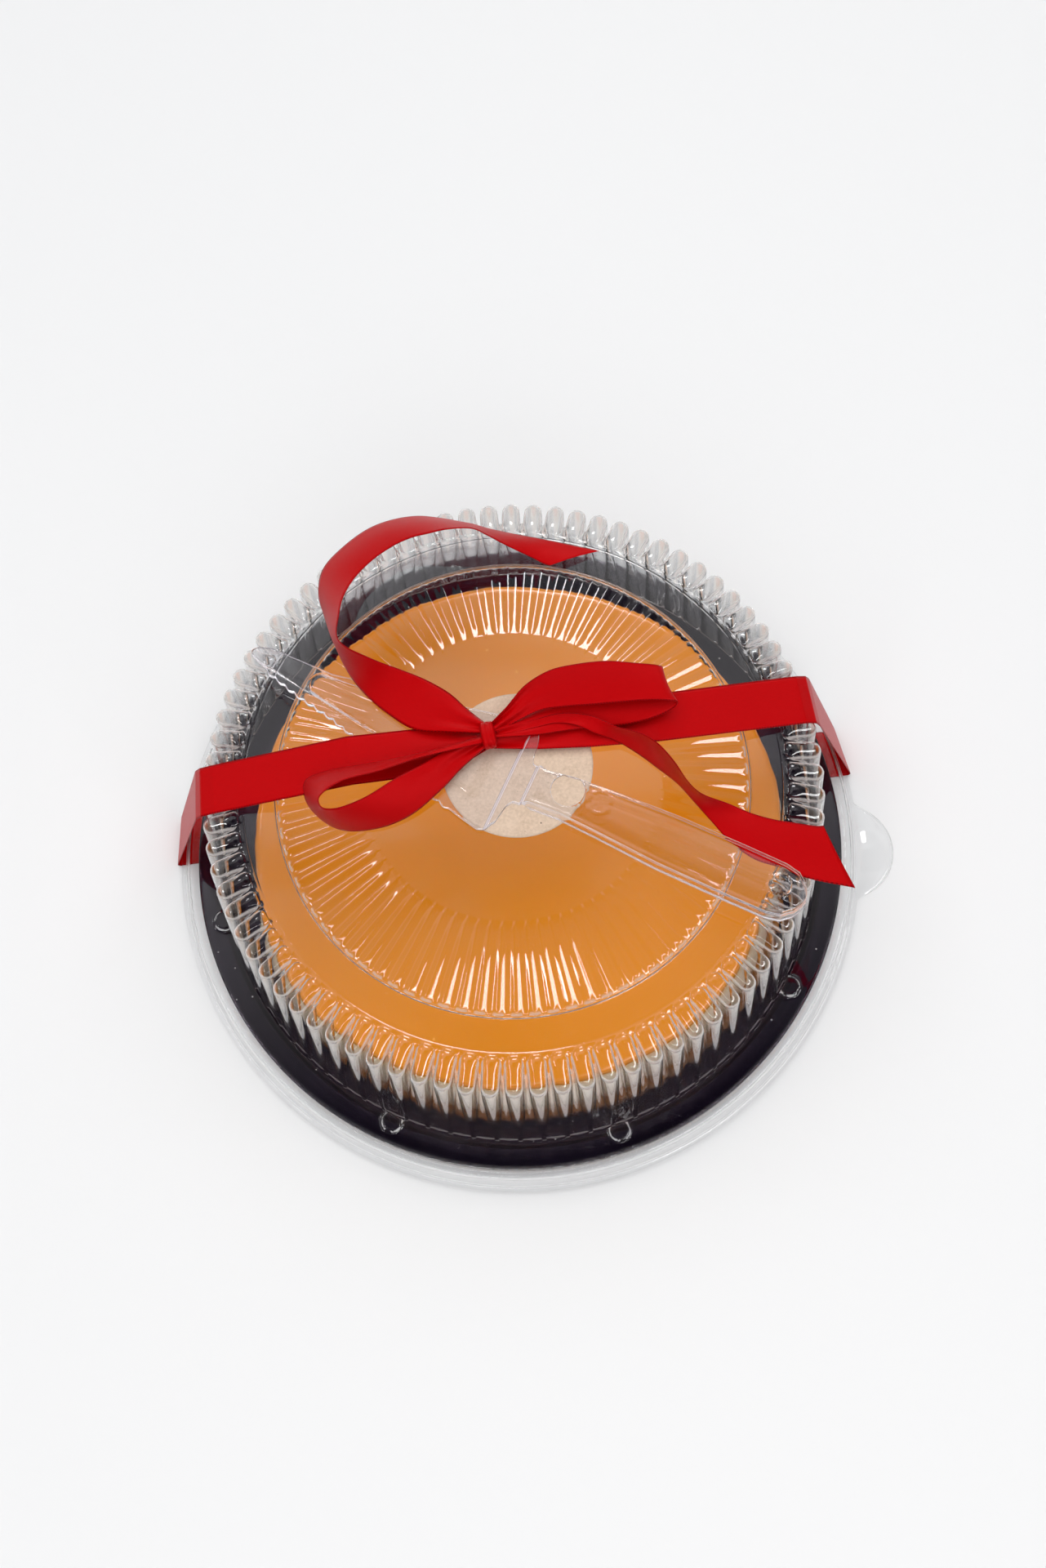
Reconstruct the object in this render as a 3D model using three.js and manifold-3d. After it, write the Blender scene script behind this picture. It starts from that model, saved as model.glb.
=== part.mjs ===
// A leche flan in its clear dome pack: black base, baked custard with a caramel top,
// fluted clear lid with a thumb tab, round paper label, clear cake server and a satin
// ribbon tied round the whole pack with a bow. Millimetres, +Z up, the pack stands on z = 0.
import * as THREE from "three";
import { mergeVertices } from "three/addons/utils/BufferGeometryUtils.js";
import Module from "manifold-3d";

const wasm = await Module();
wasm.setup();

// ---- driving dimensions ----
const ribCount = 82; // hollow ribs round the lid wall, and as many flutes on its top
const gap = 0.35; // clearance between pieces that touch
const ribbonThickness = 0.6;
const standHeight = ribbonThickness + gap; // the ribbon runs under the base

const lidTop = 110; // height of the raised centre disc
const discRadius = 62.6;
const sunburstRadius = 98.9; // outer ends of the flutes
const ledgeRadius = 112.4; // flat ring between the flutes and the ribs
const ledgeHeight = 99;
const ribCrestRadius = 130;
const wallFootRadius = 134.4;
const flangeHeight = 10; // top face of the flat flange
const flangeRadius = 147;
const rimRadius = 155; // lowest edge of the skirt
const lidWall = 0.9;

const baseRadius = 146.2;
const baseRimHeight = 8.6;
const baseFloorHeight = 5.2;
const baseWall = 1.6;

const flanRadius = 117.5;
const flanFlare = 3; // the custard widens towards its foot
const flanTop = 40;
const caramelDepth = 5;
const flanOffset = 1.3; // the flan sits slightly off the centre

const labelRadius = 31.3;
const labelThickness = 0.4;
const labelCentre = [2.9, 4.4];

const tabRadius = 22;
const tabCentre = [147.5, -15];
const tabHeight = 2.4;
const lugCount = 8;
const lugRadius = 5;
const lugFirstAngle = 12;
const lugCircle = 137;

const bladeThickness = 1.4;
const handleThickness = 1.6;
const handleRise = 6.2; // handle plate above the blade plate
const handleSkirt = 5.2; // depth of the folded-down handle sides
const serverAngle = -29.5;
const serverOrigin = [7.2, -6.7]; // where the handle starts

const degrees = Math.PI / 180;

// ---- geometry and solids ----
// A closed indexed mesh from vertex triples and triangle triples.
function meshGeometry(points, triangles) {
  const geometry = new THREE.BufferGeometry();
  geometry.setAttribute("position", new THREE.Float32BufferAttribute(points.flat(), 3));
  geometry.setIndex(triangles.flat());
  return geometry;
}

function toSolid(geometry) {
  const bare = geometry.clone();
  bare.deleteAttribute("normal");
  bare.deleteAttribute("uv");
  const merged = mergeVertices(bare, 1e-4);
  return new wasm.Manifold(
    new wasm.Mesh({
      numProp: 3,
      vertProperties: new Float32Array(merged.attributes.position.array),
      triVerts: new Uint32Array(merged.index.array),
    }),
  );
}

function toGeometry(solid) {
  const mesh = solid.getMesh();
  const geometry = new THREE.BufferGeometry();
  geometry.setAttribute("position", new THREE.BufferAttribute(mesh.vertProperties, 3));
  geometry.setIndex(new THREE.BufferAttribute(mesh.triVerts, 1));
  geometry.computeVertexNormals();
  return geometry;
}

// A turned body about Z. The profile is a list of [radius, height], run so that
// the material lies on its left: up the outside, then in towards the axis.
function turned(profile, segments, startAngle = 0) {
  const points = profile.map(([radius, height]) => new THREE.Vector2(radius, height));
  return new THREE.LatheGeometry(points, segments, startAngle).rotateX(Math.PI / 2);
}

// A body closed by two poles on the axis, with rings of points between them.
// rings[i] is a list of [x, y, z]; poles are the heights below and above.
function ringBody(rings, bottomPole, topPole) {
  const count = rings[0].length;
  const points = [bottomPole, ...rings.flat(), topPole];
  const triangles = [];
  const at = (ring, k) => 1 + ring * count + (k % count);
  const last = rings.length - 1;
  for (let k = 0; k < count; k++) {
    triangles.push([0, at(0, k + 1), at(0, k)]);
    triangles.push([points.length - 1, at(last, k), at(last, k + 1)]);
    for (let ring = 0; ring < last; ring++) {
      triangles.push([at(ring, k), at(ring, k + 1), at(ring + 1, k + 1)]);
      triangles.push([at(ring, k), at(ring + 1, k + 1), at(ring + 1, k)]);
    }
  }
  return meshGeometry(points, triangles);
}

// ---- base ----
// A shallow black tray: foot ring, recessed floor, raised flat rim.
function makeBase() {
  const foot = standHeight;
  const profile = [
    [0, foot + 1.4],
    [126, foot + 1.4],
    [128, foot],
    [138, foot],
    [140, foot + 1.2],
    [baseRadius, foot + 1.8],
    [baseRadius, baseRimHeight - 0.8],
    [baseRadius - 1, baseRimHeight],
    [baseRadius - 9, baseRimHeight],
    [baseRadius - 9 - baseWall, baseFloorHeight],
    [0, baseFloorHeight],
  ];
  return turned(profile, 72);
}

// ---- flan ----
// Radius of the flan's edge: a low wave from baking, the same on both layers.
function flanEdge(angle) {
  const wave = 0.5 * Math.sin(3 * angle + 0.6) + 0.35 * Math.sin(7 * angle + 2) + 0.25 * Math.sin(17 * angle);
  return flanRadius + wave;
}

// rows: [inset from the edge, height]
function flanLayer(rows, bottom, top, columns = 72) {
  const rings = rows.map(([inset, height]) => {
    const ring = [];
    for (let k = 0; k < columns; k++) {
      const angle = (k / columns) * 2 * Math.PI;
      const radius = flanEdge(angle) - inset;
      ring.push([flanOffset + radius * Math.cos(angle), radius * Math.sin(angle), height]);
    }
    return ring;
  });
  return ringBody(rings, [flanOffset, 0, bottom], [flanOffset, 0, top]);
}

function makeCustard() {
  const bottom = baseFloorHeight + gap;
  const top = flanTop - caramelDepth - gap;
  const rows = [
    [1.2 - flanFlare, bottom],
    [-flanFlare, bottom + 2],
    [0.6, top],
  ];
  return flanLayer(rows, bottom, top);
}

function makeCaramel() {
  const bottom = flanTop - caramelDepth;
  const rows = [
    [0.6, bottom],
    [1, flanTop - 1.8],
    [2.6, flanTop - 0.4],
    [7, flanTop],
  ];
  return flanLayer(rows, bottom, flanTop);
}

// ---- lid ----
// Outside of the dome, bottom row first: [crest radius, crest height, valley radius, valley height].
// Crests are the middles of ribs and flutes, valleys lie between them.
const domeRows = [
  [wallFootRadius, flangeHeight - lidWall, wallFootRadius - 0.6, flangeHeight - lidWall],
  [wallFootRadius - 0.2, 22, 131.4, 22],
  [131.4, 72, 121.8, 74],
  [ribCrestRadius, 89, 119, 87],
  [128.2, 94.8, 117.4, 92],
  [124, 98.4, 115.2, 95.6],
  [118, 99.8, 113.8, 97.4],
  [ledgeRadius, ledgeHeight, ledgeRadius, ledgeHeight],
  [sunburstRadius + 0.4, ledgeHeight, sunburstRadius + 0.4, ledgeHeight],
  [sunburstRadius - 0.2, 102.2, sunburstRadius - 2.4, 101.2],
  [95.6, 104.2, 94.4, 102.2],
  [80, 107.2, 80, 105.8],
  [discRadius + 3, 109.6, discRadius + 3, 109.3],
  [discRadius, lidTop, discRadius, lidTop],
];

function makeDome() {
  const columns = 2 * ribCount;
  const rings = domeRows.map(([crestRadius, crestHeight, valleyRadius, valleyHeight]) => {
    const ring = [];
    for (let k = 0; k < columns; k++) {
      const angle = (k / columns) * 2 * Math.PI;
      const radius = k % 2 ? valleyRadius : crestRadius;
      const height = k % 2 ? valleyHeight : crestHeight;
      ring.push([radius * Math.cos(angle), radius * Math.sin(angle), height]);
    }
    return ring;
  });
  return ringBody(rings, [0, 0, flangeHeight - lidWall], [0, 0, lidTop]);
}

// The hollow under the dome, one wall thickness inside the valleys.
function makeHollow() {
  const wall = lidWall;
  const profile = [
    [0, 2],
    [wallFootRadius - 2.4, 2],
    [wallFootRadius - 2.4, flangeHeight - wall],
    [120.7, 74],
    [117.9, 86.6],
    [113.4, 94.2],
    [ledgeRadius - 1.2, ledgeHeight - wall],
    [sunburstRadius - 1.4, ledgeHeight - wall],
    [sunburstRadius - 3.4, 100.2],
    [80, 104.8],
    [discRadius, lidTop - wall],
    [0, lidTop - wall],
  ];
  return turned(profile, ribCount, Math.PI / ribCount);
}

// Flat flange, bead and skirt, as one closed ring section round the dome's foot.
function makeFlangeRing() {
  const wall = lidWall;
  const skirtFoot = standHeight;
  const inner = wallFootRadius + gap;
  const profile = [
    [inner, flangeHeight - wall],
    [flangeRadius + 2.4, flangeHeight - wall],
    [rimRadius - 2.6, skirtFoot],
    [rimRadius, skirtFoot],
    [rimRadius, skirtFoot + 0.8],
    [rimRadius - 1.8, skirtFoot + 1.6],
    [flangeRadius + 2.6, flangeHeight + 1],
    [flangeRadius, flangeHeight],
    [inner, flangeHeight],
    [inner, flangeHeight - wall],
  ];
  return turned(profile, ribCount, Math.PI / ribCount);
}

// Low round lugs on the flange, cut off where they meet the wall.
function makeLugs() {
  const lugs = [];
  for (let k = 0; k < lugCount; k++) {
    const angle = (lugFirstAngle + (k * 360) / lugCount) * degrees;
    const lug = new THREE.CylinderGeometry(lugRadius - 0.8, lugRadius, 2, 12).rotateX(Math.PI / 2);
    lug.translate(lugCircle * Math.cos(angle), lugCircle * Math.sin(angle), flangeHeight + 0.7);
    lugs.push(toSolid(lug));
  }
  return lugs;
}

// The thumb tab: a flat round tongue with a raised pad, outside the skirt only.
function makeTab() {
  const bottom = standHeight;
  const plate = new THREE.CylinderGeometry(tabRadius, tabRadius, tabHeight - bottom, 40).rotateX(Math.PI / 2);
  plate.translate(tabCentre[0], tabCentre[1], (tabHeight + bottom) / 2);
  const pad = new THREE.CylinderGeometry(8, 10.5, 1.6, 24).rotateX(Math.PI / 2);
  pad.translate(tabCentre[0] + 9.5, tabCentre[1] - 0.6, tabHeight + 0.5);
  const inside = new THREE.CylinderGeometry(153, 153, 30, ribCount).rotateX(Math.PI / 2);
  return toSolid(plate).add(toSolid(pad)).subtract(toSolid(inside));
}

function makeLidDome() {
  return toGeometry(toSolid(makeDome()).subtract(toSolid(makeHollow())));
}

function makeLidFlange() {
  const inner = wallFootRadius + gap;
  const inside = new THREE.CylinderGeometry(inner, inner, 30, ribCount).rotateX(Math.PI / 2);
  inside.rotateZ(Math.PI / 2);
  let solid = toSolid(makeFlangeRing());
  for (const lug of makeLugs()) {
    solid = solid.add(lug.subtract(toSolid(inside)));
  }
  return toGeometry(solid.add(makeTab()));
}

// ---- label ----
function makeLabel() {
  return new THREE.CylinderGeometry(labelRadius, labelRadius, labelThickness, 48).rotateX(Math.PI / 2);
}

// ---- cake server ----
// The server's own frame: x along the handle, y across, z = 0 under the blade.
// Straight edge of the blade, then the serrated one, round the tip.
const serrationCount = 20;
const serrationDepth = 0.9;

function bladeOutline() {
  const outline = new THREE.Shape();
  outline.moveTo(-3, 9);
  outline.quadraticCurveTo(-3, 12, -3.6, 19);
  outline.quadraticCurveTo(-4.4, 25, -12, 25.4);
  outline.quadraticCurveTo(-24, 25, -38, 21.8);
  outline.lineTo(-96, 12.6);
  outline.quadraticCurveTo(-124, 14.5, -130, 11.6);
  outline.quadraticCurveTo(-134, 9, -131, 6.2);
  const start = new THREE.Vector2(-131, 6.2);
  const end = new THREE.Vector2(-22, -22.4);
  const across = new THREE.Vector2(end.y - start.y, start.x - end.x).normalize();
  for (let k = 1; k <= 2 * serrationCount; k++) {
    const point = start.clone().lerp(end, k / (2 * serrationCount));
    const bow = 1.2 * Math.sin((k / (2 * serrationCount)) * Math.PI);
    const tooth = k % 2 ? serrationDepth : 0;
    point.addScaledVector(across, tooth - bow);
    outline.lineTo(point.x, point.y);
  }
  outline.quadraticCurveTo(-12, -25.6, -8, -22);
  outline.quadraticCurveTo(-5, -18, -5.6, -12);
  outline.quadraticCurveTo(-5, -9.6, -3, -9);
  outline.lineTo(-3, 9);
  return outline;
}

// Handle seen from above, inset all round by a margin.
function handleOutline(inset) {
  const outline = new THREE.Shape();
  const endX = 121 - inset;
  const half = (x) => 9 + 3.4 * Math.min(1, Math.max(0, x / 60)) - inset;
  outline.moveTo(0.5 + inset, -half(0));
  outline.lineTo(30, -half(30));
  outline.lineTo(60, -half(60));
  outline.lineTo(108, -half(108));
  outline.quadraticCurveTo(endX, -half(108), endX, 0);
  outline.quadraticCurveTo(endX, half(108), 108, half(108));
  outline.lineTo(60, half(60));
  outline.lineTo(30, half(30));
  outline.lineTo(0.5 + inset, half(0));
  outline.quadraticCurveTo(-2.2 + inset, 0, 0.5 + inset, -half(0));
  return outline;
}

function extruded(outline, from, to, curveSegments = 6) {
  const settings = { depth: to - from, bevelEnabled: false, curveSegments };
  return toSolid(new THREE.ExtrudeGeometry(outline, settings).translate(0, 0, from));
}

function disc(radius, x, y, from, to, segments = 24) {
  const body = new THREE.CylinderGeometry(radius, radius, to - from, segments).rotateX(Math.PI / 2);
  return toSolid(body.translate(x, y, (from + to) / 2));
}

// The step from the blade up to the handle: a slanted plate as wide as the neck.
function makeRiser() {
  const top = handleRise + handleThickness;
  const side = new THREE.Shape();
  side.moveTo(-11.4, 0);
  side.lineTo(-9, 0);
  side.lineTo(1.6, handleRise);
  side.lineTo(3.4, handleRise);
  side.lineTo(3.4, top);
  side.lineTo(0, top);
  side.lineTo(-9.6, bladeThickness);
  side.lineTo(-11.4, bladeThickness);
  const plate = new THREE.ExtrudeGeometry(side, { depth: 17.4, bevelEnabled: false });
  return toSolid(plate.translate(0, 0, -8.7).rotateX(Math.PI / 2));
}

// A raised U-shaped bead round the middle of the blade.
function makePanelBead() {
  const outline = (inset) => {
    const shape = new THREE.Shape();
    shape.moveTo(-20, 16 - inset);
    shape.lineTo(-98, 10 - inset);
    shape.quadraticCurveTo(-105 + inset, 6, -98, 2 + inset);
    shape.lineTo(-20, -14 + inset);
    shape.lineTo(-20, 16 - inset);
    return shape;
  };
  const top = bladeThickness + 0.5;
  const outer = extruded(outline(0), bladeThickness - 0.4, top);
  return outer.subtract(extruded(outline(1.3), 0, top + 1));
}

function makeServer() {
  const top = handleRise + handleThickness;
  const shell = extruded(handleOutline(0), top - handleThickness - handleSkirt, top);
  const hollow = extruded(handleOutline(1.5), -5, handleRise);
  const clearNeck = disc(9, -6, 0, -5, handleRise, 24);
  let solid = shell.subtract(hollow).subtract(clearNeck);
  solid = solid.add(extruded(bladeOutline(), 0, bladeThickness));
  solid = solid.add(makePanelBead()).add(makeRiser());
  solid = solid.add(disc(5, 109, 1.4, handleRise - 3.4, handleRise + 0.4, 20));
  solid = solid.subtract(disc(7, 15.4, 3.6, handleRise - 2, top + 1, 28));
  return toGeometry(solid.subtract(disc(4.6, 29, 4.2, top - 0.5, top + 1, 20)));
}

// ---- ribbon ----
// Each strip is a list of stations: outer edge x, y, z and inner edge x, y, z.
// Stations follow the free run of the ribbon; curves through them give both edges.
const bandTopLeft = [
  [-8, 21, 115, -8, 11, 115],
  [-20, 22.4, 114.2, -20, 5, 114.2],
  [-38, 23, 114, -37, 2.4, 114],
  [-66, 22.6, 114.1, -65, 1.4, 114.1],
  [-124, 20.4, 100.4, -124, -0.8, 100.4],
  [-129.4, 20.3, 98.4, -129.8, -1, 98.4],
  [-132, 20.8, 94, -132.8, -0.8, 94],
];
const bandRimLeft = [
  [-139.2, 24.2, 63.8, -140.6, 2.3, 63.8],
  [-146.4, 27.6, 33.6, -148.4, 5.3, 33.6],
  [-153.6, 31, 3.4, -156.2, 8.4, 3.4],
  [-154, 31.1, 1.6, -156.6, 8.5, 1.6],
  [-152.9, 31.1, 0.3, -155.6, 8.5, 0.3],
];
const bandRimRight = [
  [149.6, 44, 0.3, 154.1, 21.6, 0.3],
  [150.6, 44.2, 1.6, 155.1, 21.7, 1.6],
  [150.3, 44.1, 3.4, 154.8, 21.6, 3.4],
];
const bandTopRight = [
  [143.2, 41.5, 33.5, 146.9, 19.3, 33.5],
  [136.1, 38.8, 63.5, 138.9, 16.9, 63.5],
  [129, 36.2, 93.6, 131, 14.6, 93.6],
  [127, 35.8, 98.2, 129, 14.4, 98.2],
  [122.6, 35.2, 100.8, 124.6, 14, 100.8],
  [106, 33.6, 103.8, 107, 12.4, 103.8],
  [62, 29, 112.4, 62, 8.2, 112.4],
  [34, 26.6, 113.4, 34, 8.2, 113.4],
  [10, 24, 113.7, 10, 9.4, 113.7],
  [-7.6, 21, 115, -7.6, 11, 115],
];
const leftLoop = [
  [-8, 12.4, 116, -8, 17, 117],
  [-19.5, 4, 115, -24, 12, 118.6],
  [-29, -4.6, 114.4, -35, 5.6, 120.4],
  [-42.3, -13.6, 112.6, -47.2, -0.6, 122.6],
  [-56.5, -17.5, 111.6, -59.6, -7.8, 124.4],
  [-71, -16, 109.6, -71, -11.6, 125.6],
  [-79.8, -9.5, 107.6, -76.8, -10.8, 126],
  [-85, -1.4, 108, -77.8, -6.8, 126],
  [-84.6, 6, 110.4, -74.2, -3.4, 125.8],
  [-76, 8.6, 113, -67, -0.2, 126],
  [-60.4, 9.4, 115.2, -53, 2.4, 125.4],
  [-40, 11, 116, -36, 7.4, 123],
  [-8, 15, 117, -8, 13, 119],
];
const rightLoop = [
  [-8, 15, 118, -8, 19, 119],
  [4, 20, 119.4, 0.8, 26, 122],
  [14.4, 23.6, 120.6, 9, 33.4, 125],
  [25, 23.8, 121.4, 19.6, 38, 127.6],
  [34, 23.4, 122, 29.8, 39.2, 128.6],
  [47.4, 23, 122.6, 43.4, 39.2, 129],
  [59, 22.8, 122.6, 55.6, 37.4, 128],
  [67.5, 22.2, 121.6, 63.4, 36.6, 126],
  [70.8, 22, 119.4, 66, 36.6, 122.8],
  [69.4, 20.6, 117.2, 64.6, 36.2, 119.6],
  [60.2, 17.2, 116.2, 55.4, 34.8, 117.8],
  [46.6, 15.4, 115.8, 43, 33, 117.2],
  [28.8, 15.6, 115.6, 27.8, 30.4, 116.8],
  [11.2, 14.6, 116, 10.4, 24, 116.8],
  [-8, 15, 116.4, -8, 18, 117],
];
const upperTail = [
  [-8, 17, 117, -8, 21, 117.6],
  [-24.4, 19.2, 117, -15.4, 28, 118.6],
  [-37.8, 22.2, 115.6, -22.2, 35.2, 120],
  [-47.3, 29.6, 114.4, -31.8, 42, 120.8],
  [-55.6, 38.2, 114.4, -41.7, 46.6, 123],
  [-62.6, 49, 113.4, -52.3, 50.6, 127],
  [-69.4, 67.6, 109, -65.5, 60.2, 127],
  [-72.8, 81.4, 104, -64.9, 73.4, 122.9],
  [-74.8, 92.7, 102.2, -62.8, 83.5, 118],
  [-72.1, 104.3, 101.4, -57.8, 93.4, 113.7],
  [-63, 113.7, 101.2, -49.7, 101.1, 113.1],
  [-51.2, 121.4, 101, -39.9, 106.9, 113.1],
  [-40.4, 124.5, 101, -32.3, 109, 114.4],
  [-29.7, 125, 101, -25.2, 109.4, 115.9],
  [-18.5, 122.6, 101, -17.1, 109.3, 118.5],
  [-8.2, 119.2, 101, -6.7, 108.3, 119],
  [0.7, 115.8, 101, -0.6, 106.4, 115],
  [11, 112.2, 101, 7, 103.2, 110],
  [24, 108.2, 101, 16.9, 98.8, 105.4],
  [35, 104.5, 101, 21.8, 96, 104],
  [46.5, 100.6, 101, 24.6, 94.8, 103.6],
];
const lowerTail = [
  [-8, 14, 117.4, -8, 16.4, 117.8],
  [11.6, 17.6, 117.2, 10.2, 20.6, 117.6],
  [21, 18.6, 117.4, 23.8, 22.4, 117.8],
  [28.6, 16.8, 117.4, 35.2, 19.6, 118.8],
  [35.6, 13.2, 116, 45, 13.2, 121],
  [44.7, 9.2, 114, 54, 9, 122.6],
  [52.6, 3.8, 112, 60.2, 3.6, 124.4],
  [59.9, -2.8, 111.2, 66, -5.6, 126.4],
  [67.4, -10.2, 110.8, 70.6, -14.6, 126],
  [73, -17.8, 109.8, 75.8, -18.6, 121],
  [79.8, -27.4, 108.4, 86.6, -21.4, 113.4],
  [87.2, -37.2, 106.6, 95.6, -25, 109.4],
  [95.6, -43.8, 104.4, 104.3, -28, 107.6],
  [105.2, -47.7, 103, 114.2, -30.4, 106.4],
  [116, -53, 102.6, 121.6, -32, 105.4],
  [134.8, -58.6, 101.4, 125, -32, 104.6],
];

// Interpolated edge pairs along a strip: curves through the stations, sampled evenly
// between each two, or straight lines where a strip lies taut.
function alongStrip(stations, stepsPerSpan) {
  if (stepsPerSpan === 0) {
    return stations.map((s) => [new THREE.Vector3(s[0], s[1], s[2]), new THREE.Vector3(s[3], s[4], s[5])]);
  }
  const outer = new THREE.CatmullRomCurve3(stations.map((s) => new THREE.Vector3(s[0], s[1], s[2])));
  const inner = new THREE.CatmullRomCurve3(stations.map((s) => new THREE.Vector3(s[3], s[4], s[5])));
  const steps = (stations.length - 1) * stepsPerSpan;
  const pairs = [];
  for (let k = 0; k <= steps; k++) {
    pairs.push([outer.getPoint(k / steps), inner.getPoint(k / steps)]);
  }
  return pairs;
}

// A flat strip with a thickness. Each pair gives four corners; a loop of pairs closes
// on itself, an open one gets an end face at each end.
function stripSolid(pairs, closed) {
  const points = [];
  const triangles = [];
  const count = pairs.length;
  pairs.forEach(([outer, inner], k) => {
    const before = pairs[closed ? (k + count - 1) % count : Math.max(0, k - 1)];
    const after = pairs[closed ? (k + 1) % count : Math.min(count - 1, k + 1)];
    const tangent = after[0].clone().add(after[1]).sub(before[0]).sub(before[1]);
    const across = inner.clone().sub(outer);
    const normal = tangent.cross(across).normalize().multiplyScalar(ribbonThickness / 2);
    points.push(outer.clone().sub(normal).toArray());
    points.push(inner.clone().sub(normal).toArray());
    points.push(inner.clone().add(normal).toArray());
    points.push(outer.clone().add(normal).toArray());
  });
  const spans = closed ? count : count - 1;
  for (let k = 0; k < spans; k++) {
    const here = 4 * k;
    const next = 4 * ((k + 1) % count);
    for (let side = 0; side < 4; side++) {
      const other = (side + 1) % 4;
      if (side === 2) {
        // the upper face splits along the same diagonal as the lower one, so a twist keeps its thickness
        triangles.push([here + side, here + other, next + side]);
        triangles.push([here + other, next + other, next + side]);
      } else {
        triangles.push([here + side, here + other, next + other]);
        triangles.push([here + side, next + other, next + side]);
      }
    }
  }
  if (!closed) {
    const end = 4 * (count - 1);
    triangles.push([0, 2, 1]);
    triangles.push([0, 3, 2]);
    triangles.push([end, end + 1, end + 2]);
    triangles.push([end, end + 2, end + 3]);
  }
  const solid = toSolid(meshGeometry(points, triangles));
  return solid.volume() < 0 ? toSolid(meshGeometry(points, triangles.map(([a, b, c]) => [a, c, b]))) : solid;
}

// The wrapped knot: a rounded block, 8 mm along the ribbon.
function makeKnot() {
  const outline = new THREE.Shape();
  outline.absellipse(0, 0, 7, 4.2, 0, 2 * Math.PI);
  const settings = {
    depth: 5,
    bevelEnabled: true,
    bevelThickness: 1.5,
    bevelSize: 0.8,
    bevelOffset: -0.8,
    bevelSegments: 2,
    curveSegments: 12,
  };
  const block = new THREE.ExtrudeGeometry(outline, settings).translate(0, 0, -2.5);
  block.rotateX(Math.PI / 2).rotateZ(Math.PI / 2 - 6 * degrees);
  return toSolid(block.translate(-7.8, 16, 117.4));
}

function makeRibbon() {
  const band = alongStrip([...bandTopLeft, ...bandRimLeft, ...bandRimRight, ...bandTopRight], 0);
  let solid = stripSolid(band, true).add(makeKnot());
  for (const stations of [leftLoop, rightLoop, upperTail, lowerTail]) {
    const pairs = alongStrip(stations, 2);
    const middle = Math.floor(pairs.length / 2);
    solid = solid.add(stripSolid(pairs.slice(0, middle + 1), false));
    solid = solid.add(stripSolid(pairs.slice(middle), false));
  }
  return toGeometry(solid.simplify(0.06));
}

// ---- assembly ----
const pack = new THREE.Group();

function addNode(name, geometry, material, place = [0, 0, 0], turn = 0) {
  const mesh = new THREE.Mesh(geometry, new THREE.MeshStandardMaterial(material));
  mesh.name = name;
  mesh.position.set(...place);
  mesh.rotation.z = turn;
  pack.add(mesh);
}

const clearPlastic = { color: 0xeef1f2, roughness: 0.05, metalness: 0, transparent: true, opacity: 0.3 };

addNode("base", makeBase(), { color: 0x17161a, roughness: 0.2, metalness: 0 });
addNode("custard", makeCustard(), { color: 0xe8dcc6, roughness: 0.45, metalness: 0 });
addNode("caramel", makeCaramel(), { color: 0xc9721d, roughness: 0.25, metalness: 0 });
addNode("lid_dome", makeLidDome(), { ...clearPlastic });
addNode("lid_flange", makeLidFlange(), { ...clearPlastic });
addNode("label", makeLabel(), { color: 0xdcc4a4, roughness: 0.85, metalness: 0 }, [
  ...labelCentre,
  lidTop + gap + labelThickness / 2,
]);
addNode(
  "cake_server",
  makeServer(),
  { ...clearPlastic },
  [...serverOrigin, lidTop + labelThickness + 2 * gap],
  serverAngle * degrees,
);
addNode("ribbon", makeRibbon(), { color: 0xb30010, roughness: 0.4, metalness: 0 });

// The part's origin is the middle of its footprint, on the surface it stands on.
const bounds = new THREE.Box3().setFromObject(pack);
const middle = bounds.getCenter(new THREE.Vector3());
pack.position.set(-middle.x, -middle.y, -bounds.min.z);

export default pack;
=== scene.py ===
import math

import bpy
import numpy as np
from mathutils import Matrix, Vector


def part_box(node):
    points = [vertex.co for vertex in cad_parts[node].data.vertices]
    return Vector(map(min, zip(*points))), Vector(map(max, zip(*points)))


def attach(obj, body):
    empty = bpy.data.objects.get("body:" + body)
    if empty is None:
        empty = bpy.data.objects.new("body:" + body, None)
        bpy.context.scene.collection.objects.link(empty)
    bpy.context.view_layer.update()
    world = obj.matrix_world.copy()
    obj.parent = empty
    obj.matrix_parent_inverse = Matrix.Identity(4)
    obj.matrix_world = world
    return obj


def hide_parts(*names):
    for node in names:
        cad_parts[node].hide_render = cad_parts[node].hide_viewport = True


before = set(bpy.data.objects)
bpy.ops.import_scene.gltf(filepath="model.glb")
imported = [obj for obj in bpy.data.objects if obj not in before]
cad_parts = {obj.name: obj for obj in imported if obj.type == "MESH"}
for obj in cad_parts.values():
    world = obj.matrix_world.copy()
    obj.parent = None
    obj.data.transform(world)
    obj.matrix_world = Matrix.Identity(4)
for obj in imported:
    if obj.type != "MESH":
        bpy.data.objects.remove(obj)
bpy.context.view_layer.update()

# lengths below are millimetres round the lid's axis, and become metres in addMesh
millimetre = 0.001
baseLow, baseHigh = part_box("base")
lidAxis = np.array([(baseLow.x + baseHigh.x) / 2, (baseLow.y + baseHigh.y) / 2, 0.0])
print("frame loaded, lid axis at", lidAxis.round(4))


def addObject(name, data):
    # an object with this data, in the scene
    made = bpy.data.objects.new(name, data)
    bpy.context.scene.collection.objects.link(made)
    return made


def node(tree, kind, inputs=None, **settings):
    # a shader node with its settings; an input is a socket to link or a plain value
    made = tree.nodes.new(kind)
    for key, value in settings.items():
        setattr(made, key, value)
    for key, value in (inputs or {}).items():
        if isinstance(value, bpy.types.NodeSocket):
            tree.links.new(value, made.inputs[key])
        else:
            made.inputs[key].default_value = value
    return made


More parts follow.
